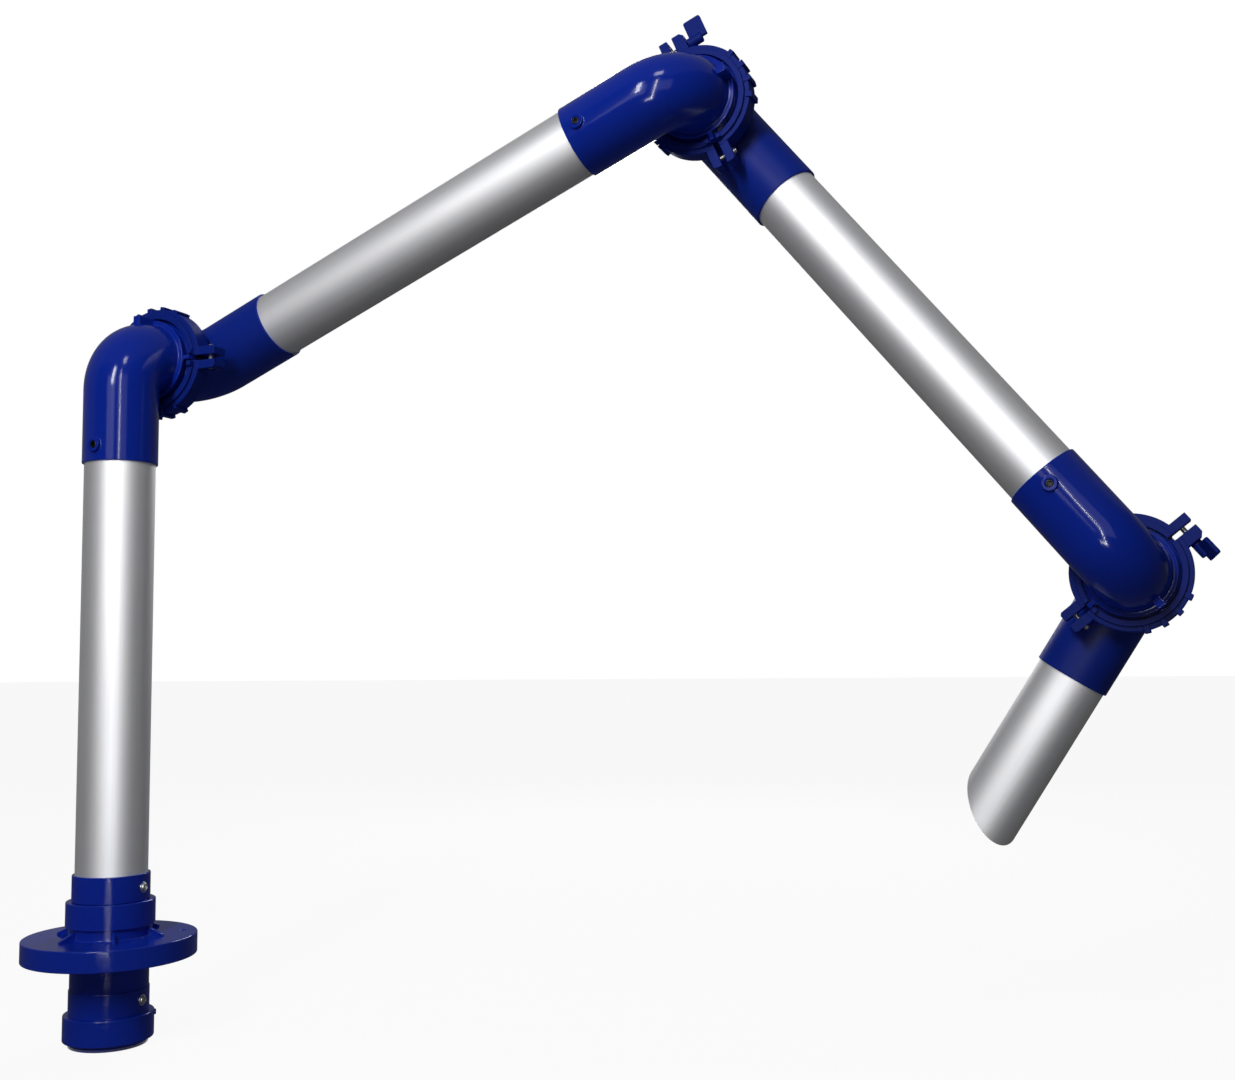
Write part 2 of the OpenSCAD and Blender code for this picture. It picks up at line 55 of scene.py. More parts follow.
FULL_TURN = 2 * math.pi
CORNER_SHARE = 0.45
SAME_POINT = 1e-4
SHARP_EDGE = math.radians(50)
QUARTER = math.pi / 2
NOISE_MEAN = 0.5
LAYERS = 3.0
WHITE = (1, 1, 1, 1)
KNOB_TURNS = {1: -30.0, 2: 0.0, 3: 68.0}


# Places and outlines

@dataclass(frozen=True)
class Place:
    """A local frame: where its origin lies and which way its three axes point."""

    origin: Array
    axes: Array

    @classmethod
    def along(cls, origin: Array, degrees: float) -> "Place":
        """Gives the frame whose x axis lies in the xz plane at an angle above +x.

        Args:
            origin: The frame's origin, in millimetres.
            degrees: The angle of its x axis above the horizontal.

        Returns:
            The frame, with its y axis along +y.
        """
        c, s = math.cos(math.radians(degrees)), math.sin(math.radians(degrees))
        return cls(np.asarray(origin, float), np.array([[c, 0, -s], [0, 1, 0], [s, 0, c]]))

    def moved(self, x: float, y: float, z: float) -> "Place":
        """Gives this frame moved along its own axes."""
        return Place(self.origin + self.axes @ np.array([x, y, z]), self.axes)

    def turned(self, axis: int, degrees: float) -> "Place":
        """Gives this frame turned about one of its own axes.

        Args:
            axis: 0, 1 or 2 for the x, y or z axis.
            degrees: The turn, by the right hand rule.

        Returns:
            The turned frame.
        """
        turn = np.array(Matrix.Rotation(math.radians(degrees), 3, "XYZ"[axis]))
        return Place(self.origin, self.axes @ turn)

    def mirrored(self) -> "Place":
        """Gives this frame with its y axis reversed."""
        return Place(self.origin, self.axes * np.array([1, -1, 1]))

    def __call__(self, points: Array) -> Array:
        """Carries points from this frame to the one around it."""
        return points @ self.axes.T + self.origin

    def __matmul__(self, inner: "Place") -> "Place":
        """Gives a frame that lies in this one, as seen from around this one."""
        return Place(self(inner.origin), self.axes @ inner.axes)


HOME = Place(np.zeros(3), np.eye(3))
# The frame whose x axis, the axis of a turned shape, lies along z
UPRIGHT = Place(np.zeros(3), np.array([[0, 1, 0], [0, 0, 1], [1, 0, 0]], float))
# The frame in which a plate stands on edge, its outline in x and z
ON_EDGE = Place(np.zeros(3), np.array([[1, 0, 0], [0, 0, 1], [0, 1, 0]], float))


def rounded(outline: Sequence[Sequence[float]], radius: float | Sequence[float],
            steps: int = 4) -> Array:
    """Rounds the corners of a closed outline.

    Each corner becomes an arc that touches both of its sides: a rational quadratic
    curve, whose middle weight is the sine of half the corner's angle. The arc takes at
    most CORNER_SHARE of the shorter side.

    Args:
        outline: The corners, in order.
        radius: One radius for all corners, or one for each.
        steps: Straight pieces in each arc.

    Returns:
        The points of the rounded outline, without doubles.
    """
    here = np.asarray(outline, float)
    back, ahead = np.roll(here, 1, 0) - here, np.roll(here, -1, 0) - here
    back_len = np.linalg.norm(back, axis=1, keepdims=True)
    ahead_len = np.linalg.norm(ahead, axis=1, keepdims=True)
    back, ahead = back / back_len, ahead / ahead_len
    half = 0.5 * np.arccos(np.clip((back * ahead).sum(1), -1, 1))[:, None]
    radii = np.broadcast_to(np.asarray(radius, float).reshape(-1, 1), half.shape)
    reach = np.minimum(radii / np.tan(np.maximum(half, 1e-6)),
                       CORNER_SHARE * np.minimum(back_len, ahead_len))
    s = np.linspace(0, 1, steps + 1)[None, :, None]
    start, middle, end = (1 - s) ** 2, 2 * s * (1 - s) * np.sin(half)[:, :, None], s ** 2
    arcs = (start * (here + back * reach)[:, None] + middle * here[:, None]
            + end * (here + ahead * reach)[:, None]) / (start + middle + end)
    line = arcs.reshape(-1, 2)
    return line[np.linalg.norm(line - np.roll(line, 1, 0), axis=1) > SAME_POINT]


def inset(outline: Array, distance: float) -> Array:
    """Moves a closed outline inwards.

    Each point moves along the sum of the normals of its two sides, divided by one plus
    their product, so that both sides move by the same distance.

    Args:
        outline: The points, in order.
        distance: How far each side moves.

    Returns:
        The moved points.
    """
    side = np.roll(outline, -1, 0) - outline
    side = side / np.linalg.norm(side, axis=1, keepdims=True)
    nxt = np.roll(outline, -1, 0)
    area = (outline[:, 0] * nxt[:, 1] - outline[:, 1] * nxt[:, 0]).sum()
    normal = np.stack([-side[:, 1], side[:, 0]], 1) * np.sign(area)
    before = np.roll(normal, 1, 0)
    product = np.maximum((normal * before).sum(1, keepdims=True), -0.5)
    return outline + (normal + before) / (1 + product) * distance


def dense(line: Array, step: float) -> Array:
    """Adds points to a closed line, so that none of its pieces is longer than a step.

    Args:
        line: The points, in order.
        step: The longest piece.

    Returns:
        The same line with its own points and the added ones.
    """
    loop = np.vstack([line, line[:1]])
    way = np.concatenate([[0], np.cumsum(np.linalg.norm(np.diff(loop, axis=0), axis=1))])
    marks = np.arange(0, way[-1], step)
    gap = np.abs(marks[:, None] - way[None]).min(1)
    stops = np.sort(np.concatenate([way[:-1], marks[gap > step / 4]]))
    return np.stack([np.interp(stops, way, loop[:, 0]), np.interp(stops, way, loop[:, 1])], 1)


def ring_angles(count: int) -> Array:
    """Gives evenly spaced angles of a whole turn, in radians."""
    return np.arange(count) * FULL_TURN / count


def round_edge(radius: float, count: int) -> tuple[Array, Array]:
    """Gives points on a quarter circle that rounds an edge.

    Each point lies in by the radius times one minus the sine of its angle, and has gone
    along by the radius times one minus the cosine.

    Args:
        radius: Radius of the edge.
        count: Number of points.

    Returns:
        How far each point lies in, and how far along.
    """
    angle = np.linspace(0, QUARTER, count)
    return radius * (1 - np.sin(angle)), radius * (1 - np.cos(angle))


def hexagon(angles: Array, flats: float) -> Array:
    """Gives a hexagon's radius: half the flats over the cosine of the angle to a flat."""
    sixth = FULL_TURN / 6
    return flats / 2 / np.cos((angles + sixth / 2) % sixth - sixth / 2)


def linked(name: str, data: Any) -> bpy.types.Object:
    """Makes an object of a mesh, lamp or camera in the scene.

    Args:
        name: The object's name.
        data: What it shows.

    Returns:
        The object.
    """
    made = bpy.data.objects.new(name, data)
    bpy.context.scene.collection.objects.link(made)
    return made


def sheet_mesh(name: str, half_x: float, half_y: float, z: float = 0.0) -> bpy.types.Mesh:
    """Makes the mesh of one level rectangle around the z axis.

    Args:
        name: The mesh's name.
        half_x: Half its size along x, in metres.
        half_y: Half its size along y.
        z: Its height.

    Returns:
        The mesh.
    """
    mesh = bpy.data.meshes.new(name)
    mesh.from_pydata([(-half_x, -half_y, z), (half_x, -half_y, z), (half_x, half_y, z),
                      (-half_x, half_y, z)], [], [(0, 1, 2, 3)])
    return mesh


class Solid:
    """Closed shells that make one piece, gathered in millimetres."""

    def __init__(self, place: Place = HOME) -> None:
        """Starts a piece without shells.

        Args:
            place: The frame of its points.
        """
        self.place = place
        self.local: list[Array] = []
        self.faces: list[list[int]] = []
        self.count = 0

    def sheet(self, points: Array, sub: Place = HOME, closed: bool = False) -> None:
        """Adds one closed shell made of a grid of points.

        The columns of the grid always join up. Its rows join up too where it is closed,
        and otherwise one flat face closes each end. The shell's signed volume, the sum
        of the box products of its triangles, says whether its faces are turned round.

        Args:
            points: The grid, as rows, columns and three coordinates.
            sub: The frame of the points inside this piece's frame.
            closed: Whether the last row joins the first one.
        """
        rows, columns = points.shape[:2]
        flat = sub(points.reshape(-1, 3))
        i, j = np.meshgrid(np.arange(rows if closed else rows - 1), np.arange(columns),
                           indexing="ij")
        i, j = i.ravel(), j.ravel()
        after_i, after_j = (i + 1) % rows, (j + 1) % columns
        quads = np.stack([i * columns + j, after_i * columns + j,
                          after_i * columns + after_j, i * columns + after_j], 1)
        ends = [] if closed else [np.arange(columns), rows * columns - 1 - np.arange(columns)]
        fans = [np.stack([np.full(columns - 2, end[0]), end[1:-1], end[2:]], 1)
                for end in ends]
        triangles = np.vstack([quads[:, :3], quads[:, [0, 2, 3]], *fans])
        a, b, c = (self.place(flat)[triangles[:, n]] for n in range(3))
        inside_out = np.einsum("ij,ij->i", a - self.place.origin,
                               np.cross(b - self.place.origin, c - self.place.origin)).sum() < 0
        shell = quads.tolist() + [end.tolist() for end in ends]
        self.faces += [[n + self.count for n in (face[::-1] if inside_out else face)]
                       for face in shell]
        self.local.append(flat)
        self.count += len(flat)

    def turned(self, profile: Array, sub: Place, segments: int) -> None:
        """Adds a ring: a closed profile of distance and radius turned about x.

        Args:
            profile: Pairs of distance along the axis and radius.
            sub: The frame whose x axis is the axis.
            segments: Steps in the whole turn.
        """
        angle = ring_angles(segments)[:, None]
        along = np.broadcast_to(profile[:, 0], (segments, len(profile)))
        grid = np.stack([along, profile[:, 1] * np.cos(angle), profile[:, 1] * np.sin(angle)], -1)
        self.sheet(grid, sub, closed=True)

    def spindle(self, along: Array, radius: Array, sub: Place = HOME,
                closed: bool = False) -> None:
        """Adds a bar about x whose radius may vary with the angle too.

        Args:
            along: Distances along the axis, as rows, or as rows and angles.
            radius: The radius at each row and angle.
            sub: The frame whose x axis is the axis.
            closed: Whether the last row joins the first, as in a nut.
        """
        angle = ring_angles(radius.shape[1])
        distance = np.broadcast_to(along if along.ndim == 2 else along[:, None], radius.shape)
        grid = np.stack([distance, radius * np.cos(angle), radius * np.sin(angle)], -1)
        self.sheet(grid, sub, closed)

    def bar(self, along: Array, radius: Array, sides: int, sub: Place = HOME) -> None:
        """Adds a round bar about x, as rows of distance and radius."""
        self.spindle(along, np.repeat(radius[:, None], sides, 1), sub)

    def prism(self, outline: Array, low: float, high: float, rim: float,
              sub: Place = HOME, steps: int = 3) -> None:
        """Adds a plate: an outline carried along z, drawn in along its round rims.

        Args:
            outline: The points of the outline in x and y.
            low: Where the plate starts along z.
            high: Where it ends.
            rim: Radius of its rims.
            sub: The frame of the outline.
            steps: Straight pieces in each rim.
        """
        draw, rise = round_edge(rim, steps + 1)
        levels = [(d, low + r) for d, r in zip(draw, rise)]
        levels += [(d, high - r) for d, r in zip(draw[::-1], rise[::-1])]
        grid = np.stack([np.column_stack([inset(outline, d), np.full(len(outline), z)])
                         for d, z in levels])
        self.sheet(grid, sub)

    def block(self, low: Sequence[float], high: Sequence[float], edge: float,
              sub: Place = HOME) -> None:
        """Adds a box with rounded edges between two corners.

        Args:
            low: Its lowest corner.
            high: Its highest corner.
            edge: Radius of its edges.
            sub: The frame of the box.
        """
        outline = rounded([(low[0], low[1]), (high[0], low[1]), (high[0], high[1]),
                           (low[0], high[1])], edge)
        self.prism(outline, low[2], high[2], edge, sub)

    def carve(self, drill: "Solid") -> None:
        """Cuts another piece's shells out of this one's, which one carved shell replaces.

        Args:
            drill: The piece to cut out, in the same frame.
        """
        body, tool = self._mesh("carved"), drill._mesh("drill")
        carved, cutter = linked("carved", body), linked("drill", tool)
        cut = carved.modifiers.new("cut", "BOOLEAN")
        cut.operation, cut.solver, cut.object = "DIFFERENCE", "EXACT", cutter
        graph = bpy.context.evaluated_depsgraph_get()
        result = bpy.data.meshes.new_from_object(carved.evaluated_get(graph))
        points = np.empty(len(result.vertices) * 3)
        result.vertices.foreach_get("co", points)
        world = points.reshape(-1, 3) / MM
        self.local = [(world - self.place.origin) @ self.place.axes]
        self.faces = [list(p.vertices) for p in result.polygons]
        self.count = len(world)
        for helper in (carved, cutter):
            bpy.data.objects.remove(helper)
        for mesh in (body, tool, result):
            bpy.data.meshes.remove(mesh)

    def _mesh(self, name: str) -> bpy.types.Mesh:
        """Makes a mesh of the shells, with each point's local place as an attribute.

        Args:
            name: The mesh's name.

        Returns:
            The mesh, in metres.
        """
        local = np.vstack(self.local)
        mesh = bpy.data.meshes.new(name)
        mesh.from_pydata((self.place(local) * MM).tolist(), [], self.faces)
        mark = mesh.attributes.new("local", "FLOAT_VECTOR", "POINT")
        mark.data.foreach_set("vector", (local * MM).astype(np.float32).ravel())
        return mesh

    def finished(self, name: str, finish: "Finish", body: str, node: str) -> None:
        """Makes the object, with smooth faces, sharp corners kept and its finish on.

        Args:
            name: The object's name.
            finish: Its finish.
            body: The body that it rides on.
            node: The node that it stands for.
        """
        mesh = self._mesh(name)
        mesh.polygons.foreach_set("use_smooth", np.ones(len(mesh.polygons), bool))
        mesh.set_sharp_from_angle(angle=SHARP_EDGE)
        piece = linked(name, mesh)
        weigh = piece.modifiers.new("even_faces", "WEIGHTED_NORMAL")
        weigh.keep_sharp = True
        finish.dress(piece)
        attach(piece, body)
        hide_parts(node)
        LOG.info("%s: %d faces on %s", name, len(mesh.polygons), body)


# Materials

class Slot(Enum):
    """Material slots of the record."""

    TUBE = "anodised_tube"
    GLOSS = "gloss_blue"
    SATIN = "satin_blue"
    CLAMP = "clamp_blue"
    TURNED = "turned_blue"
    ZINC = "zinc_steel"
    RUBBER = "black_rubber"
    IVORY = "ivory_plastic"


class Value:
    """One number in a node tree. Arithmetic on it adds Math nodes."""

    def __init__(self, graph: "Graph", socket: bpy.types.NodeSocket) -> None:
        """Wraps an output socket of a graph."""
        self.graph, self.socket = graph, socket

    def apply(self, operation: str, *terms: Any) -> "Value":
        """Adds one Math node over the given terms.

        Args:
            operation: The node's operation.
            terms: Its inputs, as numbers or values.

        Returns:
            The result.
        """
        made = self.graph.node("ShaderNodeMath", {"operation": operation},
                               dict(enumerate(terms)))
        return Value(self.graph, made.outputs[0])

    def __add__(self, other: Any) -> "Value":
        """Adds a number or a value."""
        return self.apply("ADD", self, other)

    __radd__ = __add__

    def __sub__(self, other: Any) -> "Value":
        """Takes a number or a value away."""
        return self.apply("SUBTRACT", self, other)

    def __rsub__(self, other: Any) -> "Value":
        """Takes this value away from a number."""
        return self.apply("SUBTRACT", other, self)

    def __mul__(self, other: Any) -> "Value":
        """Multiplies by a number or a value."""
        return self.apply("MULTIPLY", self, other)

    __rmul__ = __mul__

    def __pow__(self, other: Any) -> "Value":
        """Raises to a power."""
        return self.apply("POWER", self, other)


class Graph:
    """A material's or the world's node tree, emptied and built anew."""

    def __init__(self, owner: Any) -> None:
        """Empties a node tree.

        Args:
            owner: The material or the world that has it.
        """
        owner.use_nodes = True
        self.tree = owner.node_tree
        self.tree.nodes.clear()

    def node(self, kind: str, settings: dict[str, Any] | None = None,
             inputs: dict[Any, Any] | None = None) -> bpy.types.Node:
        """Adds one node.

        Args:
            kind: The node's type.
            settings: Its settings, which are set first.
            inputs: Values, or nodes and sockets to link, by socket name or number.

        Returns:
            The node.
        """
        made = self.tree.nodes.new(kind)
        for key, value in (settings or {}).items():
            setattr(made, key, value)
        for key, value in (inputs or {}).items():
            socket = made.inputs[key]
            if isinstance(value, Value):
                value = value.socket
            elif isinstance(value, bpy.types.Node):
                value = value.outputs[0]
            if isinstance(value, bpy.types.NodeSocket):
                self.tree.links.new(value, socket)
            else:
                socket.default_value = value
        return made

    def pick(self, node: bpy.types.Node, output: str) -> Value:
        """Gives one output of a node by name."""
        return Value(self, node.outputs[output])

    def noise(self, vector: Any, scale: float, detail: float = 2.0,
              stretch: tuple[float, float, float] = (1, 1, 1)) -> Value:
        """Adds a noise pattern.

        Args:
            vector: The coordinates that it reads.
            scale: Features per metre.
            detail: Finer layers.
            stretch: Scale along each axis.

        Returns:
            The pattern, around one half.
        """
        mapped = self.node("ShaderNodeMapping", inputs={"Vector": vector, "Scale": stretch})
        made = self.node("ShaderNodeTexNoise", inputs={
            "Vector": mapped, "Scale": scale, "Detail": detail})
        return self.pick(made, "Fac")

    def show(self, surface: bpy.types.Node) -> None:
        """Gives a material the surface of a shader node."""
        self.node("ShaderNodeOutputMaterial", inputs={"Surface": surface})

    def blend(self, mask: Any, low: Any, high: Any) -> bpy.types.NodeSocket:
        """Mixes two colours.

        Args:
            mask: The share of the second one.
            low: The first colour.
            high: The second colour.

        Returns:
            The mixed colour.
        """
        made = self.node("ShaderNodeMix", {"data_type": "RGBA"},
                         {0: mask, 6: (*low, 1), 7: (*high, 1)})
        return made.outputs[2]


@dataclass(frozen=True)
class Finish:
    """A finish that varies a little in colour and roughness and has a fine relief."""

    name: str
    slot: Slot
    colour: tuple[float, float, float]
    shade: tuple[float, float, float]
    roughness: float
    rough_play: float = 0.05
    patch_play: float = 0.04
    metallic: float = 0.0
    specular: float = 0.5
    relief: float = 0.1
    relief_height: float = 0.00002
    relief_scale: float = 400.0
    patch_scale: float = 12.0

    def dress(self, piece: bpy.types.Object) -> None:
        """Puts this finish on a new piece."""
        piece.data.materials.clear()
        piece.data.materials.append(self.material("local"))

    def cover(self, node: str) -> None:
        """Puts this finish on a solid that stays, in every material slot."""
        for slot in frame["nodes"][node].material_slots:
            slot.material = self.material("")

    def material(self, attribute: str) -> bpy.types.Material:
        """Gives the material, made once for each kind of coordinate.

        Args:
            attribute: The attribute with the coordinates, or nothing for Object ones.

        Returns:
            The material.
        """
        name = f"{self.name}_{attribute or 'object'}"
        known = bpy.data.materials.get(name)
        if known:
            return known
        made = bpy.data.materials.new(name)
        graph = Graph(made)
        where = (graph.node("ShaderNodeAttribute", {"attribute_name": attribute}).outputs["Vector"]
                 if attribute else graph.node("ShaderNodeTexCoord").outputs["Object"])
        graph.show(self.surface(graph, where))
        made.diffuse_color = (*self.colour, 1)
        return made

    def surface(self, graph: Graph, where: bpy.types.NodeSocket) -> bpy.types.Node:
        """Builds the shader over the patches and the relief.

        Args:
            graph: The material's graph.
            where: The coordinates that the patterns read.

        Returns:
            The shader node.
        """
        patch = graph.noise(where, self.patch_scale, LAYERS)
        grain = graph.noise(where, self.relief_scale)
        bump = self.bumps(graph, grain)
        rough = (self.roughness + (patch - NOISE_MEAN) * (2 * self.rough_play)
                 + (grain - NOISE_MEAN) * self.rough_play)
        return self.principled(graph, graph.blend(patch, self.colour, self.shade), rough, bump)

    def bumps(self, graph: Graph, height: Value) -> bpy.types.Node:
        """Adds the relief over a pattern of heights and gives its node."""
        return graph.node("ShaderNodeBump", inputs={
            "Strength": self.relief, "Distance": self.relief_height, "Height": height})

    def principled(self, graph: Graph, colour: Any, roughness: Any, bump: Any) -> bpy.types.Node:
        """Adds the shader with this finish's own constants and gives its node."""
        return graph.node("ShaderNodeBsdfPrincipled", inputs={
            "Base Color": colour, "Roughness": roughness, "Normal": bump,
            "Metallic": self.metallic, "Specular IOR Level": self.specular})


@dataclass(frozen=True)
class DrawnTube(Finish):
    """Anodised tube: fine lines and faint bluish streaks along its own x axis."""

    streak: tuple[float, float, float] = (0.62, 0.66, 0.74)
    broad_scale: float = 60.0
    broad_stretch: tuple[float, float, float] = (0.02, 1, 1)
    fine_scale: float = 900.0
    fine_stretch: tuple[float, float, float] = (0.006, 1, 1)
    broad_level: float = 0.45
    broad_share: float = 1.2
    fine_share: float = 0.5

    def surface(self, graph: Graph, where: bpy.types.NodeSocket) -> bpy.types.Node:
        """Builds the shader over streaks that run along the tube.

        Args:
            graph: The material's graph.
            where: The coordinates that the patterns read.

        Returns:
            The shader node.
        """
        broad = graph.noise(where, self.broad_scale, LAYERS, self.broad_stretch)
        fine = graph.noise(where, self.fine_scale, LAYERS, self.fine_stretch)
        patch = graph.noise(where, self.patch_scale)
        colour = graph.node("ShaderNodeMix", {"data_type": "RGBA"}, {
            0: (broad - self.broad_level) * self.broad_share
               + (fine - NOISE_MEAN) * self.fine_share,
            6: graph.blend(patch, self.colour, self.shade), 7: (*self.streak, 1)})
        bump = self.bumps(graph, fine)
        rough = (self.roughness + (fine - NOISE_MEAN) * (2 * self.rough_play)
                 + (patch - NOISE_MEAN) * self.patch_play)
        return self.principled(graph, colour.outputs[2], rough, bump)


@dataclass(frozen=True)
class LatheTurned(Finish):
    """Turned plastic: very fine grooves around its own upright axis."""

    def surface(self, graph: Graph, where: bpy.types.NodeSocket) -> bpy.types.Node:
        """Builds the shader over grooves that depend on height and distance alone.

        Args:
            graph: The material's graph.
            where: The coordinates that the patterns read.

        Returns:
            The shader node.
        """
        parts = graph.node("ShaderNodeSeparateXYZ", inputs={0: where})
        x, y, z = (Value(graph, parts.outputs[n]) for n in range(3))
        out = (x * x + y * y) ** 0.5
        flat = graph.node("ShaderNodeCombineXYZ", inputs={"X": out, "Z": z})
        groove = graph.noise(flat.outputs[0], self.relief_scale)
        patch = graph.noise(where, self.patch_scale, LAYERS)
        bump = self.bumps(graph, groove)
        rough = (self.roughness + (groove - NOISE_MEAN) * self.rough_play
                 + (patch - NOISE_MEAN) * self.patch_play)
        return self.principled(graph, graph.blend(patch, self.colour, self.shade), rough, bump)


ANODISED = DrawnTube("anodised_tube", Slot.TUBE, (0.86, 0.86, 0.87), (0.80, 0.80, 0.82),
                     roughness=0.59, rough_play=0.05, metallic=1.0, relief=0.25,
                     relief_height=0.00001)
GLOSS_BLUE = Finish("gloss_blue", Slot.GLOSS, (0.0045, 0.028, 0.40), (0.004, 0.024, 0.36),
                    roughness=0.12, rough_play=0.02, specular=0.25, relief=0.15,
                    relief_scale=90.0)
SATIN_BLUE = Finish("satin_blue", Slot.SATIN, (0.0045, 0.026, 0.33), (0.004, 0.022, 0.29),
                    roughness=0.45, rough_play=0.04, specular=0.12, relief=0.3,
                    relief_scale=1500.0)
CLAMP_BLUE = Finish("clamp_blue", Slot.CLAMP, (0.006, 0.024, 0.27), (0.005, 0.021, 0.24),
                    roughness=0.45, rough_play=0.04, specular=0.06, relief=0.3,
                    relief_scale=1500.0)
TURNED_BLUE = LatheTurned("turned_blue", Slot.TURNED, (0.006, 0.030, 0.42),
                          (0.005, 0.026, 0.37), roughness=0.05, rough_play=0.01,
                          specular=0.3, relief=1.0, relief_scale=1600.0,
                          relief_height=0.00012)
ZINC = Finish("zinc_steel", Slot.ZINC, (0.62, 0.62, 0.61), (0.50, 0.51, 0.52),
              roughness=0.30, rough_play=0.06, metallic=1.0, relief=0.2, relief_scale=2000.0,
              patch_scale=150.0)
DARK_ZINC = Finish("dark_steel", Slot.ZINC, (0.03, 0.03, 0.033), (0.02, 0.02, 0.022),
                   roughness=0.35, rough_play=0.06, metallic=1.0, relief=0.2,
                   relief_scale=2000.0, patch_scale=150.0)
RUBBER = Finish("black_rubber", Slot.RUBBER, (0.02, 0.02, 0.02), (0.03, 0.03, 0.03),
                roughness=0.7, relief=0.4, relief_scale=1800.0)
IVORY = Finish("ivory_plastic", Slot.IVORY, (0.78, 0.74, 0.62), (0.74, 0.70, 0.58),
               roughness=0.4, relief=0.2, relief_scale=1500.0)


# Where each tube and each clamp ring stands at rest

@dataclass(frozen=True)
class Layout:
    """The frames of tubes and clamp rings, from the record's joints and mounts."""

    ring_step: float = 64.0
    rings: list[Array] = field(default_factory=list)
    angles: list[float] = field(default_factory=list)

    @classmethod
    def read(cls) -> "Layout":
        """Reads the joints and the nozzle's direction from the frame.

        Returns:
            The layout, in millimetres and degrees.
        """
        joints = {j["name"]: j for j in frame["joints"]}
        mounts = {m["name"]: m for m in frame["record"]["mounts"]}
        rings = [np.array(joints[f"elbow_joint_{k}"]["pos_m"]) / MM for k in (1, 2, 3)]
        ways = [np.array([0.0, 0, 1]), rings[1] - rings[0], rings[2] - rings[1],
                np.array(mounts["nozzle_outside"]["axis"])]
        return cls(rings=rings,
                   angles=[math.degrees(math.atan2(w[2], w[0])) for w in ways])

    def start(self, tube: int) -> Place:
        """Gives the frame at the start of a tube, which runs along its +x."""
        origin = self.rings[tube - 1] + np.array([0, self.ring_step, 0])
        return Place.along(origin, self.angles[tube])

    def end(self, tube: int) -> Place:
        """Gives the frame at the far end of a tube, which comes in along its +x."""
        origin = self.rings[tube] - np.array([0, self.ring_step, 0])
        return Place.along(origin, self.angles[tube] + 180)

    def ring(self, number: int) -> Place:
        """Gives the frame in the middle of a clamp ring, turned as the elbow before it."""
        return Place.along(self.rings[number - 1], self.angles[number - 1] + 180)


# Fasteners

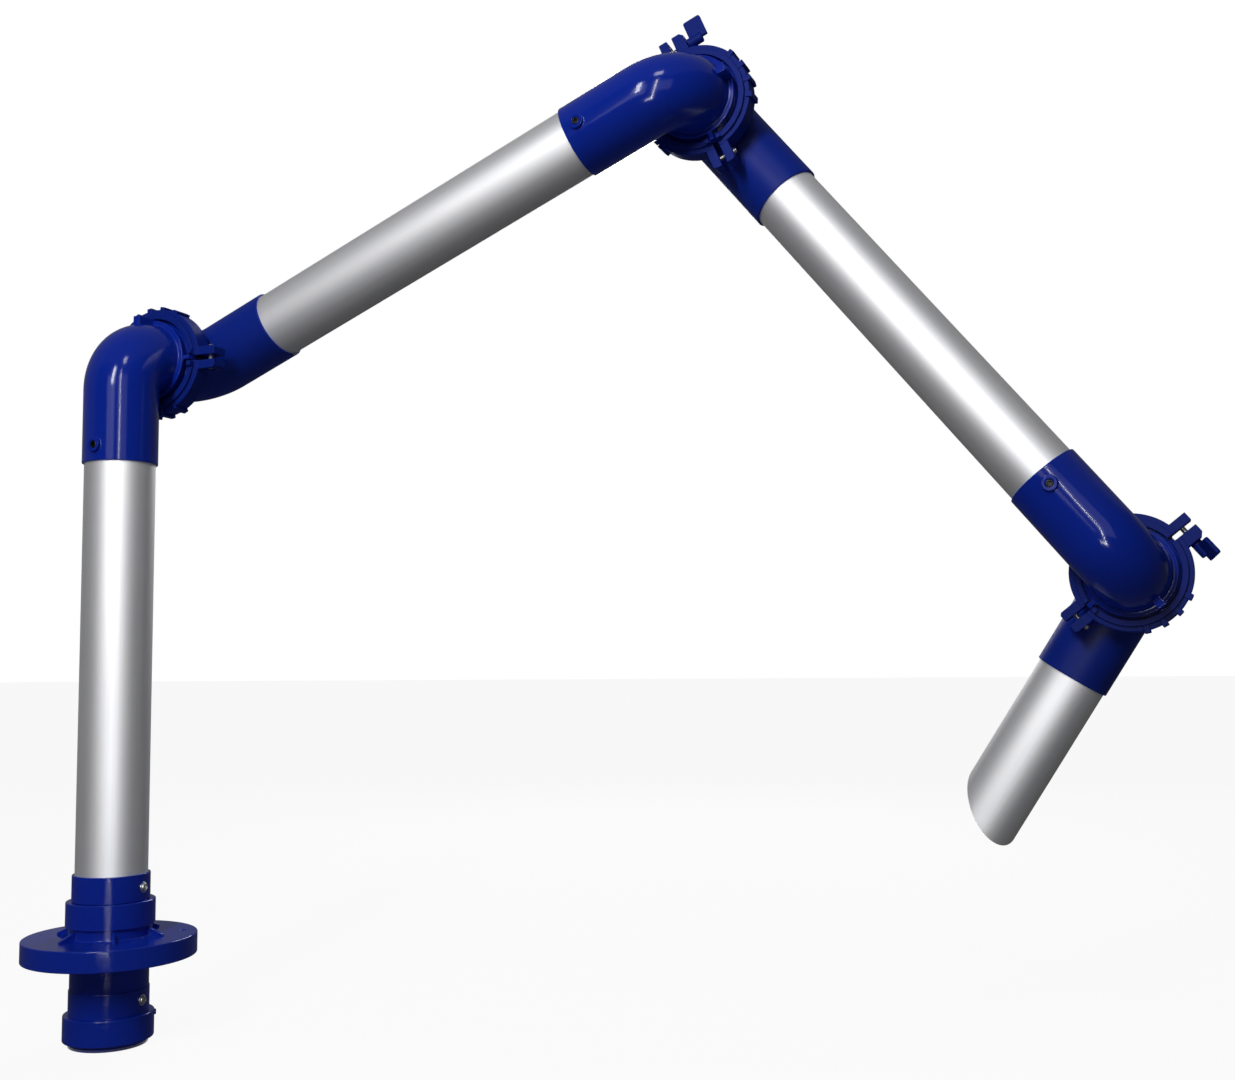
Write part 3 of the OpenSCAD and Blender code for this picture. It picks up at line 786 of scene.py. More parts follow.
@dataclass(frozen=True)
class Fasteners:
    """Hexagon bolts, nuts, grub screws and washer-head screws."""

    shank_r: float = 3.0
    pitch: float = 1.0
    thread_depth: float = 0.45
    thread_sides: int = 36
    rows_per_pitch: int = 8
    point: float = 0.8
    sides: int = 72
    flats: float = 10.0
    flat_share: float = 0.96
    chamfer: float = 0.4
    nut_h: float = 5.0
    nut_bore_r: float = 3.05
    head_h: float = 4.0
    cone: float = 0.5
    washer_r: float = 5.85
    washer_h: float = 0.9
    washer_edge: float = 0.2
    button_r: float = 4.6
    button_top_r: float = 3.4
    button_foot: float = 0.15
    button_h: float = 2.0
    socket_flats: float = 4.0
    socket_depth: float = 2.5
    socket_edge: float = 0.3
    grub_r: float = 4.0
    grub_edge: float = 0.5

    def shank(self, solid: Solid, sub: Place, start: float, end: float) -> None:
        """Adds a threaded bar along x.

        The radius falls from the outside by the thread depth times a triangle wave of
        the distance over the pitch minus the turn, and both ends are cut at 45 degrees.

        Args:
            solid: The piece that it joins.
            sub: The frame of the bar.
            start: Where it starts.
            end: Where it ends.
        """
        rows = int((end - start) / self.pitch * self.rows_per_pitch) + 1
        x = np.linspace(start, end, rows)[:, None]
        turn = np.arange(self.thread_sides)[None] / self.thread_sides
        wave = np.abs(((x / self.pitch - turn) % 1) * 2 - 1)
        radius = self.shank_r - self.thread_depth * wave
        taper = self.shank_r - self.point + np.minimum(x - start, end - x)
        solid.spindle(x[:, 0], np.minimum(radius, taper), sub)

    def nut(self, solid: Solid, sub: Place, start: float, end: float, hole: float) -> None:
        """Adds a hexagon along x, whose corners are cut by cones at both ends.

        Args:
            solid: The piece that it joins.
            sub: The frame of the nut.
            start: Where it starts.
            end: Where it ends.
            hole: Radius of its hole, or 0 for a bolt head.
        """
        outer = hexagon(ring_angles(self.sides), self.flats)
        flat = np.full_like(outer, self.flats / 2 * self.flat_share)
        drop, level = (outer - flat) * self.cone, np.zeros_like(outer)
        rows_x = [start + level, start + drop, end - drop, end + level]
        rows_r = [flat, outer, outer, flat]
        if hole:
            rows_x += [x + level for x in (end, end - self.chamfer, start + self.chamfer, start)]
            rows_r += [r + level for r in (hole + self.chamfer, hole, hole, hole + self.chamfer)]
        solid.spindle(np.stack(rows_x), np.stack(rows_r), sub, closed=bool(hole))

    def grub(self, solid: Solid, sub: Place, foot: float, top: float) -> None:
        """Adds a screw without a head along x, with a hexagon socket in its top.

        Args:
            solid: The piece that it joins.
            sub: The frame of the screw.
            foot: Its inner end.
            top: Its outer end.
        """
        key = hexagon(ring_angles(self.sides), self.socket_flats)
        cut, full = self.grub_edge, np.full_like(key, self.grub_r)
        x = [foot, foot + cut, top - cut, top, top, top - self.socket_edge,
             top - self.socket_depth]
        r = [full - cut, full, full, full - cut, key + self.socket_edge, key, key]
        solid.spindle(np.array(x), np.stack(r), sub)

    def washer_head(self, solid: Solid, sub: Place, tip: float, seat: float) -> None:
        """Adds a screw along x with a thin washer under a domed button head.

        Args:
            solid: The piece that it joins.
            sub: The frame of the screw.
            tip: Its inner end.
            seat: Where the washer sits.
        """
        key = hexagon(ring_angles(self.sides), self.socket_flats)
        edge, top = self.washer_edge, seat + self.washer_h
        crown, arc = top + self.button_h, np.linspace(0, QUARTER, 7)
        dome_r = self.button_r + (self.button_top_r - self.button_r) * (1 - np.cos(arc))
        dome_x = top + self.button_foot + (self.button_h - self.button_foot) * np.sin(arc)
        x = np.concatenate([[tip, tip + self.point, seat, seat, seat + edge, top - edge, top],
                            dome_x, [crown, crown - edge, top]])
        r = np.concatenate([[self.shank_r - self.point, self.shank_r, self.shank_r,
                             self.washer_r - edge, self.washer_r, self.washer_r,
                             self.washer_r - edge], dome_r])
        rows = np.vstack([r[:, None] * np.ones_like(key), key + edge, key, key])
        solid.spindle(x, rows, sub)


FASTENERS = Fasteners()


# Elbows and tubes

@dataclass(frozen=True)
class Elbow:
    """A moulded elbow: the tube comes in along +x and the outlet looks along +y."""

    skin_r: float = 40.0
    duct_r: float = 36.0
    socket_r: float = 37.6
    bend_r: float = 44.0
    reach: float = 126.0
    socket_start: float = 66.0
    face_y: float = 62.4
    flange_r: float = 53.5
    flange_t: float = 6.0
    neck_r: float = 43.0
    collar_r: float = 46.0
    collar_t: float = 3.0
    boss_x: float = 109.0
    boss_r: float = 7.75
    boss_rise: float = 3.0
    boss_fillet: float = 1.2
    boss_edge: float = 0.6
    boss_root: float = 1.2
    boss_sides: int = 96
    hole_r: float = 4.05
    hole_edge: float = 0.4
    hole_depth: float = 1.6
    screw_xs: tuple[float, float] = (37.6, 42.6)
    lug_w: float = 9.0
    lug_len: float = 23.0
    lug_face: float = 47.0
    lug_edge: float = 0.6
    lug_over: float = 0.3
    key_low: tuple[float, float, float] = (-2.5, 45.0, 42.0)
    key_high: tuple[float, float, float] = (2.5, 53.1, 54.5)
    key_edge: float = 0.4
    around: int = 128
    row_step: float = 2.4

    def _way(self, s: Array) -> tuple[Array, Array]:
        """Gives the middle line of the elbow at distances from its outlet face.

        It runs down -y to the bend, a quarter circle to the x axis, and then along +x.

        Args:
            s: Distances along the line.

        Returns:
            The points of the line, and the unit vectors towards the inside of the bend.
        """
        neck = self.face_y - self.bend_r
        turn = np.clip((s - neck) / self.bend_r, 0, QUARTER)
        run = np.maximum(s - neck - self.bend_r * QUARTER, 0)
        x = self.bend_r * (1 - np.cos(turn)) + run
        y = self.face_y - np.clip(s, 0, neck) - self.bend_r * np.sin(turn)
        nothing = np.zeros_like(s)
        return (np.stack([x, y, nothing], -1),
                np.stack([np.cos(turn), np.sin(turn), nothing], -1))

    def skin(self, solid: Solid) -> None:
        """Adds the pipe with its flange, neck, thin collar and socket.

        A closed profile of distance and radius is carried along the middle line, and
        each of its points becomes a circle square to that line.

        Args:
            solid: The piece that it joins.
        """
        neck = self.face_y - self.bend_r
        end = neck + self.bend_r * QUARTER + self.reach - self.bend_r
        stop = end - (self.reach - self.socket_start)
        collar = neck - self.collar_t
        profile = [(0, self.duct_r), (0, self.flange_r), (self.flange_t, self.flange_r),
                   (self.flange_t, self.neck_r), (collar, self.neck_r),
                   (collar, self.collar_r), (neck, self.collar_r), (neck, self.skin_r),
                   (end, self.skin_r), (end, self.socket_r), (stop, self.socket_r),
                   (stop, self.duct_r)]
        radii = [0.4, 0.6, 0.8, 0.8, 0.8, 0.9, 0.9, 1.4, 0.8, 0.5, 0.3, 0.3]
        line = dense(rounded(profile, radii), self.row_step)
        centre, inward = self._way(line[:, 0])
        angle = ring_angles(self.around)[None, :, None]
        up = np.array([0.0, 0.0, 1.0])
        radius = line[:, 1][:, None, None]
        grid = centre[:, None] + radius * (np.cos(angle) * inward[:, None] + np.sin(angle) * up)
        solid.sheet(grid, closed=True)

    def boss(self, solid: Solid) -> None:
        """Adds the round boss on the -y side, with a fillet that follows the pipe.

        At radius r from the boss axis the pipe lies at the root of its radius squared
        minus the square of r times the sine of the angle, and each row of the boss
        stands its own height above that, until the flat top.

        Args:
            solid: The piece that it joins.
        """
        top, fillet, edge = self.skin_r + self.boss_rise, self.boss_fillet, self.boss_edge
        (flare, foot_h), (drop, draw) = round_edge(fillet, 6), round_edge(edge, 5)
        foot_r, rim_r, rim_y = self.boss_r + flare, self.boss_r - draw, top - drop
        flat_y = [top, top - self.hole_edge, self.skin_r - self.hole_depth]
        angle = ring_angles(self.boss_sides)[None]

        def saddle(radius: Array) -> Array:
            """Gives the pipe's surface around the boss axis."""
            return np.sqrt(self.skin_r ** 2 - (radius * np.sin(angle)) ** 2)

        rows_r = np.concatenate([[self.boss_r + fillet], foot_r, rim_r, [
            self.hole_r + self.hole_edge, self.hole_r, self.hole_r]])[:, None]
        level_y = np.concatenate([rim_y, flat_y])[:, None] * np.ones_like(angle)
        heights = np.vstack([saddle(rows_r[:1]) - self.boss_root,
                             saddle(foot_r[:, None]) + foot_h[:, None], level_y])
        radius = np.broadcast_to(rows_r, heights.shape)
        solid.spindle(heights, radius, self.boss_place(-1.0), closed=True)

    def boss_place(self, way: float) -> Place:
        """Gives the frame whose x axis is the boss's, along +y or -y."""
        return Place(np.array([self.boss_x, 0, 0]),
                     np.array([[0, 1, 0], [way, 0, 0], [0, 0, 1.0]]))

    def lug(self, solid: Solid) -> None:
        """Adds the square lug on the back of the bend and the key beside the collar.

        Args:
            solid: The piece that it joins.
        """
        mid = self.bend_r + (self.skin_r + self.duct_r) / 2
        y = np.linspace(self.bend_r - self.lug_len, self.bend_r + self.lug_over, 6)
        root = np.stack([self.bend_r - np.sqrt(mid ** 2 - (y - self.bend_r) ** 2), y], 1)
        face = np.array([[-self.lug_face, y[-1]], [-self.lug_face, y[0]]])
        outline = rounded(np.vstack([root, face]), [0, 0, 0, 0, 0, 0, 0.5, 1.0])
        solid.prism(outline, -self.lug_w / 2, self.lug_w / 2, self.lug_edge)
        solid.block(self.key_low, self.key_high, self.key_edge)

    def make(self, name: str, place: Place, finish: Finish, body: str, leaving: bool) -> None:
        """Makes one elbow.

        Args:
            name: The solid that it stands for.
            place: Its frame.
            finish: Its finish.
            body: The body that it rides on.
            leaving: Whether it is at the far end of a tube, and has the lug and the key.
        """
        solid = Solid(place if leaving else place.mirrored())
        self.skin(solid)
        self.boss(solid)
        if leaving:
            self.lug(solid)
        solid.finished(f"{name}_moulding", finish, body, name)

    def screw(self, solid: Solid, way: float) -> None:
        """Adds the grub screw of this elbow's boss."""
        FASTENERS.grub(solid, self.boss_place(way), *self.screw_xs)


@dataclass(frozen=True)
class Tube:
    """A drawn tube along +x with rounded ends, which may end in a slant."""

    outer_r: float = 37.5
    inner_r: float = 36.0
    edge: float = 0.4
    around: int = 192
    rows: int = 40

    def make(self, name: str, place: Place, start: float, end: float, body: str,
             slant: float = 0.0, turn: float = 0.0) -> None:
        """Makes one tube.

        The far end lies on a plane: a point at radius r and angle a ends at the end
        distance minus the tangent of the slant times r times the cosine of a minus the
        turn.

        Args:
            name: The solid that it stands for.
            place: Its frame.
            start: Where it starts along x.
            end: Where its axis ends.
            body: The body that it rides on.
            slant: Angle of its far end from square, in degrees.
            turn: Which way the shortest side of the slant looks, in degrees.
        """
        draw, rise = round_edge(self.edge, 4)
        mid = (self.outer_r + self.inner_r) / 2
        draw_r = np.concatenate([[mid], self.outer_r - draw])
        inner_r = np.concatenate([self.inner_r + draw[::-1], [mid]])
        back = np.concatenate([[0], rise])
        share = np.linspace(0, 1, self.rows)[1:-1, None]
        angle = ring_angles(self.around)[None]

        def rim(radius: Array) -> Array:
            """Gives the end of the tube at each radius and angle."""
            tilt = math.tan(math.radians(slant))
            return end - tilt * radius[:, None] * np.cos(angle - math.radians(turn))

        def wall(radius: float) -> Array:
            """Gives evenly spaced rows between the two ends at one radius."""
            last = rim(np.array([radius]))
            return (start + self.edge) * (1 - share) + (last - self.edge) * share

        foot = (start + back)[:, None] * np.ones_like(angle)
        x = np.vstack([foot, wall(self.outer_r), rim(draw_r[::-1]) - back[::-1, None],
                       rim(inner_r[::-1]) - back[:, None], wall(self.inner_r)[::-1],
                       foot[::-1]])
        r = np.concatenate([draw_r, np.full(len(share), self.outer_r), draw_r[::-1],
                            inner_r[::-1], np.full(len(share), self.inner_r), inner_r])
        step = np.abs(np.diff(r)) + np.abs(np.diff(x[:, 0]))
        keep = np.concatenate([[True], step > SAME_POINT])
        keep[-1] = False
        solid = Solid(place)
        solid.spindle(x[keep], np.broadcast_to(r[keep][:, None], x[keep].shape), closed=True)
        solid.finished(f"{name}_drawn", ANODISED, body, name)


# Clamp rings and wing knobs

@dataclass(frozen=True)
class ClampJoint:
    """One clamp ring: two half rings, their bolts and the wing knob."""

    number: int
    knob_turn: float
    lip_r: float = 49.0
    channel_r: float = 53.8
    step_r: float = 55.5
    band_r: float = 61.0
    side_y: float = 14.0
    band_y: float = 10.5
    channel_y: float = 7.7
    half_gap: float = 3.0
    ear_x: float = 13.0
    knob_ear_x: float = 16.5
    ear_half_w: float = 10.0
    ear_beyond: float = 12.0
    ear_corner: float = 2.5
    near_ear_corner: float = 0.3
    knob_ear_corner: float = 4.0
    hinge_axis: float = 70.0
    knob_axis: float = 67.0
    ear_rim: float = 0.8
    pocket_x: float = 7.7
    pocket_edge: float = 0.4
    bolt_end: float = 3.0
    thread_sunk: float = 0.2
    hole_r: float = 3.2
    pocket_play: float = 0.4
    drill_play: float = 0.01
    drill_beyond: float = 2.0
    teeth: int = 4
    tooth_pitch: float = 17.3
    tooth_w: float = 6.5
    tooth_rise: float = 3.0
    tooth_beyond: float = 1.0
    tooth_edge: float = 0.9
    peg_at: tuple[float, float] = (1.0, 0.5)
    peg_w: float = 5.5
    peg_rise: float = 4.0
    peg_edge: float = 0.6
    sunk: float = 1.0
    edge: float = 0.7
    band_rows: int = 74
    hub_r: float = 5.75
    hub_start: float = -33.8
    hub_end: float = -16.8
    hub_round: float = 1.6
    hub_edge: float = 0.6
    hub_sides: int = 64
    bolt_tip: float = -30.5
    wing: tuple[float, float] = (-40.3, -19.8)
    wing_reach: float = 24.5
    wing_t: float = 4.5
    wing_corner: float = 2.5
    wing_rim: float = 1.0

    def _band(self, solid: Solid, sub: Place) -> None:
        """Adds half of the turned ring.

        Its rows are cuts by planes: at a distance x from the middle plane a point at
        radius r lies at the angle whose sine is x over r from the plane of the gap. The
        rows start in the gap's face, where the profile is drawn in for a round edge.

        Args:
            solid: The piece that it joins.
            sub: The frame of this half.
        """
        profile = rounded([
            (-self.side_y, self.lip_r), (-self.side_y, self.step_r), (-self.band_y, self.step_r),
            (-self.band_y, self.band_r), (self.band_y, self.band_r), (self.band_y, self.step_r),
            (self.side_y, self.step_r), (self.side_y, self.lip_r), (self.channel_y, self.lip_r),
            (self.channel_y, self.channel_r), (-self.channel_y, self.channel_r),
            (-self.channel_y, self.lip_r)],
            [0.6, 0.8, 0.5, 1.2, 1.2, 0.5, 0.8, 0.6, 0.4, 0.3, 0.3, 0.4], 3)
        draw, rise = round_edge(self.edge, 4)
        gap = self.half_gap + rise
        shrunk = np.stack([inset(profile, d) for d in draw])
        start = np.arcsin(gap[:, None] / shrunk[..., 1])
        mid = np.linspace(0, 1, self.band_rows)[1:-1, None]
        last = start[-1][None]
        middle = last * (1 - mid) + (math.pi - last) * mid
        angle = np.vstack([start, middle, (math.pi - start)[::-1]])
        rows = np.concatenate([shrunk, np.broadcast_to(profile, (len(mid), *profile.shape)),
                               shrunk[::-1]])
        x = rows[..., 1] * np.sin(angle)
        z = rows[..., 1] * np.cos(angle)
        solid.sheet(np.stack([x, rows[..., 0], z], -1), sub)

    def _ear(self, solid: Solid, drill: Solid, sub: Place, end: float, axis: float,
             cut: float, pocket: bool) -> None:
        """Adds one ear beside the gap, and its bolt hole and hexagon pocket to a drill.

        Args:
            solid: The piece that it joins.
            drill: The piece that is cut out afterwards.
            sub: The frame of this half, turned so that the ear lies along +z.
            end: Its outer face.
            axis: Distance of its bolt from the middle of the ring.
            cut: How far its outer corner is cut.
            pocket: Whether a nut or a bolt head is sunk in it.
        """
        root, top, rim = self.channel_r + self.sunk, axis + self.ear_beyond, self.ear_rim
        outline = rounded([(self.half_gap, root), (self.half_gap, top), (end - cut, top),
                           (end, top - cut), (end, root)], [0.2, rim, rim, rim, 0.2], 3)
        solid.prism(outline, -self.ear_half_w, self.ear_half_w, self.edge, sub @ ON_EDGE)
        angle, edge = ring_angles(FASTENERS.sides), self.pocket_edge
        hole = np.full_like(angle, self.hole_r)
        wide = hexagon(angle, FASTENERS.flats + self.pocket_play) if pocket else hole
        turn = self.pocket_x if pocket else end - edge
        x = [0.0, turn, turn, end - edge, end + self.drill_play, end + self.drill_beyond]
        drill.spindle(np.array(x), np.stack([hole, hole, wide, wide, wide + edge, wide + edge]),
                      sub.moved(0, 0, axis))

    def half(self, place: Place, near: bool) -> None:
        """Makes one half ring with its ears, teeth and peg.

        Args:
            place: The frame of the ring.
            near: Whether it is the half around the tube side of the elbow before it.
        """
        solid, drill = Solid(place), Solid(place)
        side = 1.0 if near else -1.0
        sub = Place(np.zeros(3), np.diag([side, 1, 1]))
        over = Place(np.zeros(3), np.diag([side, 1, -1]))
        self._ear(solid, drill, sub, self.ear_x, self.hinge_axis, self.ear_corner, True)
        if near:
            self._ear(solid, drill, over, self.ear_x, self.knob_axis, self.near_ear_corner, True)
        else:
            self._ear(solid, drill, over, self.knob_ear_x, self.knob_axis,
                      self.knob_ear_corner, False)
        solid.carve(drill)
        self._band(solid, sub)
        wide = self.band_y + self.tooth_beyond
        for tooth in range(self.teeth):
            turn = (tooth - (self.teeth - 1) / 2) * self.tooth_pitch
            solid.block((self.channel_r + self.sunk, -wide, -self.tooth_w / 2),
                        (self.band_r + self.tooth_rise, wide, self.tooth_w / 2),
                        self.tooth_edge, sub.turned(1, turn))
        low, foot = self.half_gap + self.peg_at[0], self.lip_r + self.peg_at[1]
        solid.block((low, -self.side_y - self.peg_rise, foot),
                    (low + self.peg_w, -self.side_y + self.sunk, foot + self.peg_w),
                    self.peg_edge, sub)
        name = f"joint_{self.number}_{'near' if near else 'far'}_clamp"
        solid.finished(f"{name}_half", CLAMP_BLUE, self.body, name)

    @property
    def body(self) -> str:
        """The body whose elbow carries the ring."""
        return ("mast", "lower_arm", "upper_arm")[self.number - 1]

    def bolts(self, place: Place) -> None:
        """Makes the hinge bolt, its nut and the tension bolt.

        Args:
            place: The frame of the ring.
        """
        prefix, tight = f"joint_{self.number}", FASTENERS
        for axis, piece, start in ((self.hinge_axis, "hinge_bolt", -self.ear_x - self.bolt_end),
                                   (-self.knob_axis, "tension_bolt", self.bolt_tip)):
            solid = Solid(place.moved(0, 0, axis))
            tight.shank(solid, HOME, start, self.pocket_x + self.thread_sunk)
            tight.nut(solid, HOME, self.pocket_x, self.pocket_x + tight.head_h, 0)
            solid.finished(f"{prefix}_{piece}_threaded", ZINC, self.body, f"{prefix}_{piece}")
        solid = Solid(place.moved(0, 0, self.hinge_axis))
        tight.nut(solid, HOME, -self.pocket_x - tight.nut_h, -self.pocket_x,
                  tight.nut_bore_r)
        solid.finished(f"{prefix}_hinge_nut_hex", ZINC, self.body, f"{prefix}_hinge_nut")

    def knob(self, place: Place) -> None:
        """Makes the wing knob on the tension bolt.

        Args:
            place: The frame of the ring.
        """
        solid = Solid(place.moved(0, 0, -self.knob_axis).turned(0, -self.knob_turn))
        (draw, rise), (back, shrink) = (round_edge(r, 7) for r in (self.hub_round, self.hub_edge))
        x = np.concatenate([self.hub_start + rise, self.hub_end - back])
        r = np.concatenate([self.hub_r - draw, self.hub_r - shrink])
        solid.bar(x, r, self.hub_sides)
        (low, high), corner, rim = self.wing, self.wing_corner, self.wing_rim
        outline = rounded([(low, 0), (low, -self.wing_reach), (high, -self.wing_reach),
                           (high, 0)], [rim, corner, corner, rim], 6)
        solid.prism(outline, -self.wing_t / 2, self.wing_t / 2, rim, ON_EDGE, 4)
        name = f"joint_{self.number}_wing_knob"
        solid.finished(f"{name}_grip", CLAMP_BLUE, f"knob_{self.number}", name)

    def make(self, place: Place) -> None:
        """Makes the whole clamp ring.

        Args:
            place: The frame of the ring.
        """
        self.half(place, True)
        self.half(place, False)
        self.bolts(place)
        self.knob(place)
        RUBBER.cover(f"joint_{self.number}_friction_ring")


# Bench unit

@dataclass(frozen=True)
class BenchUnit:
    """The turned rings on the bench, the swivel, and the outlet below."""

    flange_r: float = 90.0
    flange_t: float = 22.0
    hub_top: float = 34.0
    hub_r: float = 43.0
    pocket_r: float = 41.0
    pocket_z: float = 18.0
    housing_r: float = 45.98
    housing_top: float = 60.0
    bore_r: float = 42.08
    lip_r: float = 39.9
    lip_foot: float = 57.0
    bush_r: float = 39.5
    bush_out_r: float = 42.0
    bush_top: float = 56.9
    floor_r: float = 40.0
    floor_t: float = 2.0
    collar_r: float = 40.25
    collar_foot: float = 60.3
    collar_top: float = 88.0
    journal_r: float = 39.4
    journal_foot: float = 22.2
    groove_r: float = 38.6
    groove_foot: float = 31.9
    groove_top: float = 33.7
    socket_foot: float = 26.2
    socket_r: float = 37.6
    duct_r: float = 36.0
    spigot_r: float = 40.5
    spigot_end_r: float = 38.0
    spigot_foot: float = -56.0
    spigot_len: float = 32.0
    seat_r: float = 38.1
    seat: float = -56.2
    seat_foot: float = -60.0
    duct_collar_r: float = 41.3
    sleeve_r: float = 40.9
    ring_top: float = -58.0
    ring_foot: float = -85.0
    foot: float = -91.0
    ring_r: float = 46.5
    ring_bore_r: float = 40.95
    gussets: int = 6
    gusset_r: float = 60.0
    gusset_t: float = 4.0
    gusset_turn: float = 15.0
    gusset_edge: float = 0.5
    gusset_sunk: float = 1.0
    gusset_rises: tuple[float, float] = (2.0, 10.0)
    stop_r: float = 3.0
    stop_rise: float = 1.8
    stop_edge: float = 0.9
    stop_at: tuple[float, float] = (-62.0, 40.0)
    screw_turn: float = 5.0
    screw_in: float = 2.0
    screw_play: float = 0.1
    screw_zs: tuple[float, float] = (74.0, -43.7)
    hole_at: tuple[float, float] = (75.0, 42.0)
    hole_zs: tuple[float, ...] = (-5.0, -0.01, 0.5, 21.4, 22.01, 27.0)
    hole_rs: tuple[float, ...] = (3.5, 3.5, 3.0, 3.0, 3.6, 3.6)
    small_sides: int = 48
    around: int = 192
    flange_around: int = 240

    def _ring(self, name: str, points: Sequence[Sequence[float]], radii: Sequence[float],
              body: str, finish: Finish = TURNED_BLUE) -> None:
        """Makes one turned ring.

        Args:
            name: The solid that it stands for.
            points: Its profile, as pairs of radius and height.
            radii: The radius of each corner.
            body: The body that it rides on.
            finish: Its finish.
        """
        solid = Solid()
        solid.turned(rounded([(z, r) for r, z in points], radii), UPRIGHT, self.around)
        solid.finished(f"{name}_turned", finish, body, name)

    def flange(self) -> None:
        """Makes the flange with its hub, spigot, gussets and fixing hole."""
        points = [(self.duct_r, self.spigot_foot), (self.spigot_end_r, self.spigot_foot),
                  (self.spigot_end_r, -self.spigot_len), (self.spigot_r, -self.spigot_len),
                  (self.spigot_r, 0), (self.flange_r, 0), (self.flange_r, self.flange_t),
                  (self.hub_r, self.flange_t), (self.hub_r, self.hub_top),
                  (self.pocket_r, self.hub_top), (self.pocket_r, self.pocket_z),
                  (self.duct_r, self.pocket_z)]
        radii = [0.3, 0.3, 0.2, 0.4, 0.6, 1.0, 1.3, 2.0, 0.6, 0.3, 0.3, 0.3]
        solid = Solid()
        solid.turned(rounded([(z, r) for r, z in points], radii, 5), UPRIGHT,
                     self.flange_around)
        far, turn = self.hole_at
        drill = Solid()
        drill.bar(np.array(self.hole_zs), np.array(self.hole_rs), self.small_sides,
                  HOME.turned(2, turn).moved(far, 0, 0) @ UPRIGHT)
        solid.carve(drill)
        root, low = self.pocket_r + self.gusset_sunk, self.flange_t - self.gusset_sunk
        tip, high = (self.flange_t + rise for rise in self.gusset_rises)
        web = rounded([(root, low), (self.gusset_r, low), (self.gusset_r, tip), (root, high)],
                      [0.2, 0.2, 0.8, 0.2])
        for n in range(self.gussets):
            turn = self.gusset_turn + 360 / self.gussets * n
            solid.prism(web, -self.gusset_t / 2, self.gusset_t / 2, self.gusset_edge,
                        HOME.turned(2, turn) @ ON_EDGE)
        solid.finished("base_flange_turned", TURNED_BLUE, "base", "base_flange")

    def rings(self) -> None:
        """Makes the housing, the rotating collar, the duct collar and the outlet ring."""
        floor = self.hub_top + self.floor_t
        self._ring("swivel_housing", [
            (self.floor_r, self.hub_top), (self.housing_r, self.hub_top),
            (self.housing_r, self.housing_top), (self.lip_r, self.housing_top),
            (self.lip_r, self.lip_foot), (self.bore_r, self.lip_foot),
            (self.bore_r, floor), (self.floor_r, floor)],
            [0.2, 0.5, 1.1, 0.3, 0.2, 0.2, 0.2, 0.2], "base")
        self._ring("swivel_bush", [
            (self.bush_r, floor), (self.bush_out_r, floor), (self.bush_out_r, self.bush_top),
            (self.bush_r, self.bush_top)], [0.4] * 4, "base", IVORY)
        self._ring("tube_collar", [
            (self.duct_r, self.journal_foot), (self.journal_r, self.journal_foot),
            (self.journal_r, self.groove_foot), (self.groove_r, self.groove_foot),
            (self.groove_r, self.groove_top), (self.journal_r, self.groove_top),
            (self.journal_r, self.collar_foot), (self.collar_r, self.collar_foot),
            (self.collar_r, self.collar_top), (self.socket_r, self.collar_top),
            (self.socket_r, self.socket_foot), (self.duct_r, self.socket_foot)],
            [0.3, 0.3, 0.2, 0.2, 0.2, 0.2, 0.2, 0.3, 0.8, 0.4, 0.2, 0.2], "mast")
        self._ring("duct_collar", [
            (self.socket_r, self.foot), (self.sleeve_r, self.foot),
            (self.sleeve_r, self.ring_top), (self.duct_collar_r, self.ring_top),
            (self.duct_collar_r, -self.spigot_len), (self.seat_r, -self.spigot_len),
            (self.seat_r, self.seat), (self.duct_r, self.seat),
            (self.duct_r, self.seat_foot), (self.socket_r, self.seat_foot)],
            [0.4, 1.0, 0.2, 0.4, 0.8, 0.3, 0.2, 0.2, 0.2, 0.2], "base")
        ring, bore = Solid(), self.ring_bore_r
        ring.turned(rounded([(self.ring_foot, bore), (self.ring_foot, self.ring_r),
                             (self.ring_top, self.ring_r), (self.ring_top, bore)],
                            [0.4, 1.2, 1.2, 0.4], 5), UPRIGHT, self.around)
        (drop, draw), (height, turn) = round_edge(self.stop_edge, 6), self.stop_at
        x = np.concatenate([[self.ring_r - self.stop_r], self.ring_r + self.stop_rise - drop])
        r = np.concatenate([[self.stop_r], self.stop_r - draw])
        ring.bar(x, r, self.small_sides, HOME.turned(2, turn).moved(0, 0, height))
        ring.finished("outlet_ring_turned", TURNED_BLUE, "base", "outlet_ring")

    def screws(self) -> None:
        """Makes the two washer-head screws."""
        for name, body, z, wall in zip(("tube_collar_screw", "duct_collar_screw"),
                                       ("mast", "base"), self.screw_zs,
                                       (self.collar_r, self.duct_collar_r)):
            solid = Solid(HOME.turned(2, self.screw_turn).moved(0, 0, z))
            FASTENERS.washer_head(solid, HOME, self.duct_r - self.screw_in,
                                  wall + self.screw_play)
            solid.finished(f"{name}_zinc", ZINC, body, name)

    def make(self) -> None:
        """Makes every piece of the bench unit."""
        self.flange()
        self.rings()
        self.screws()
        RUBBER.cover("swivel_seal")
        ZINC.cover("retaining_clip")


# Arms

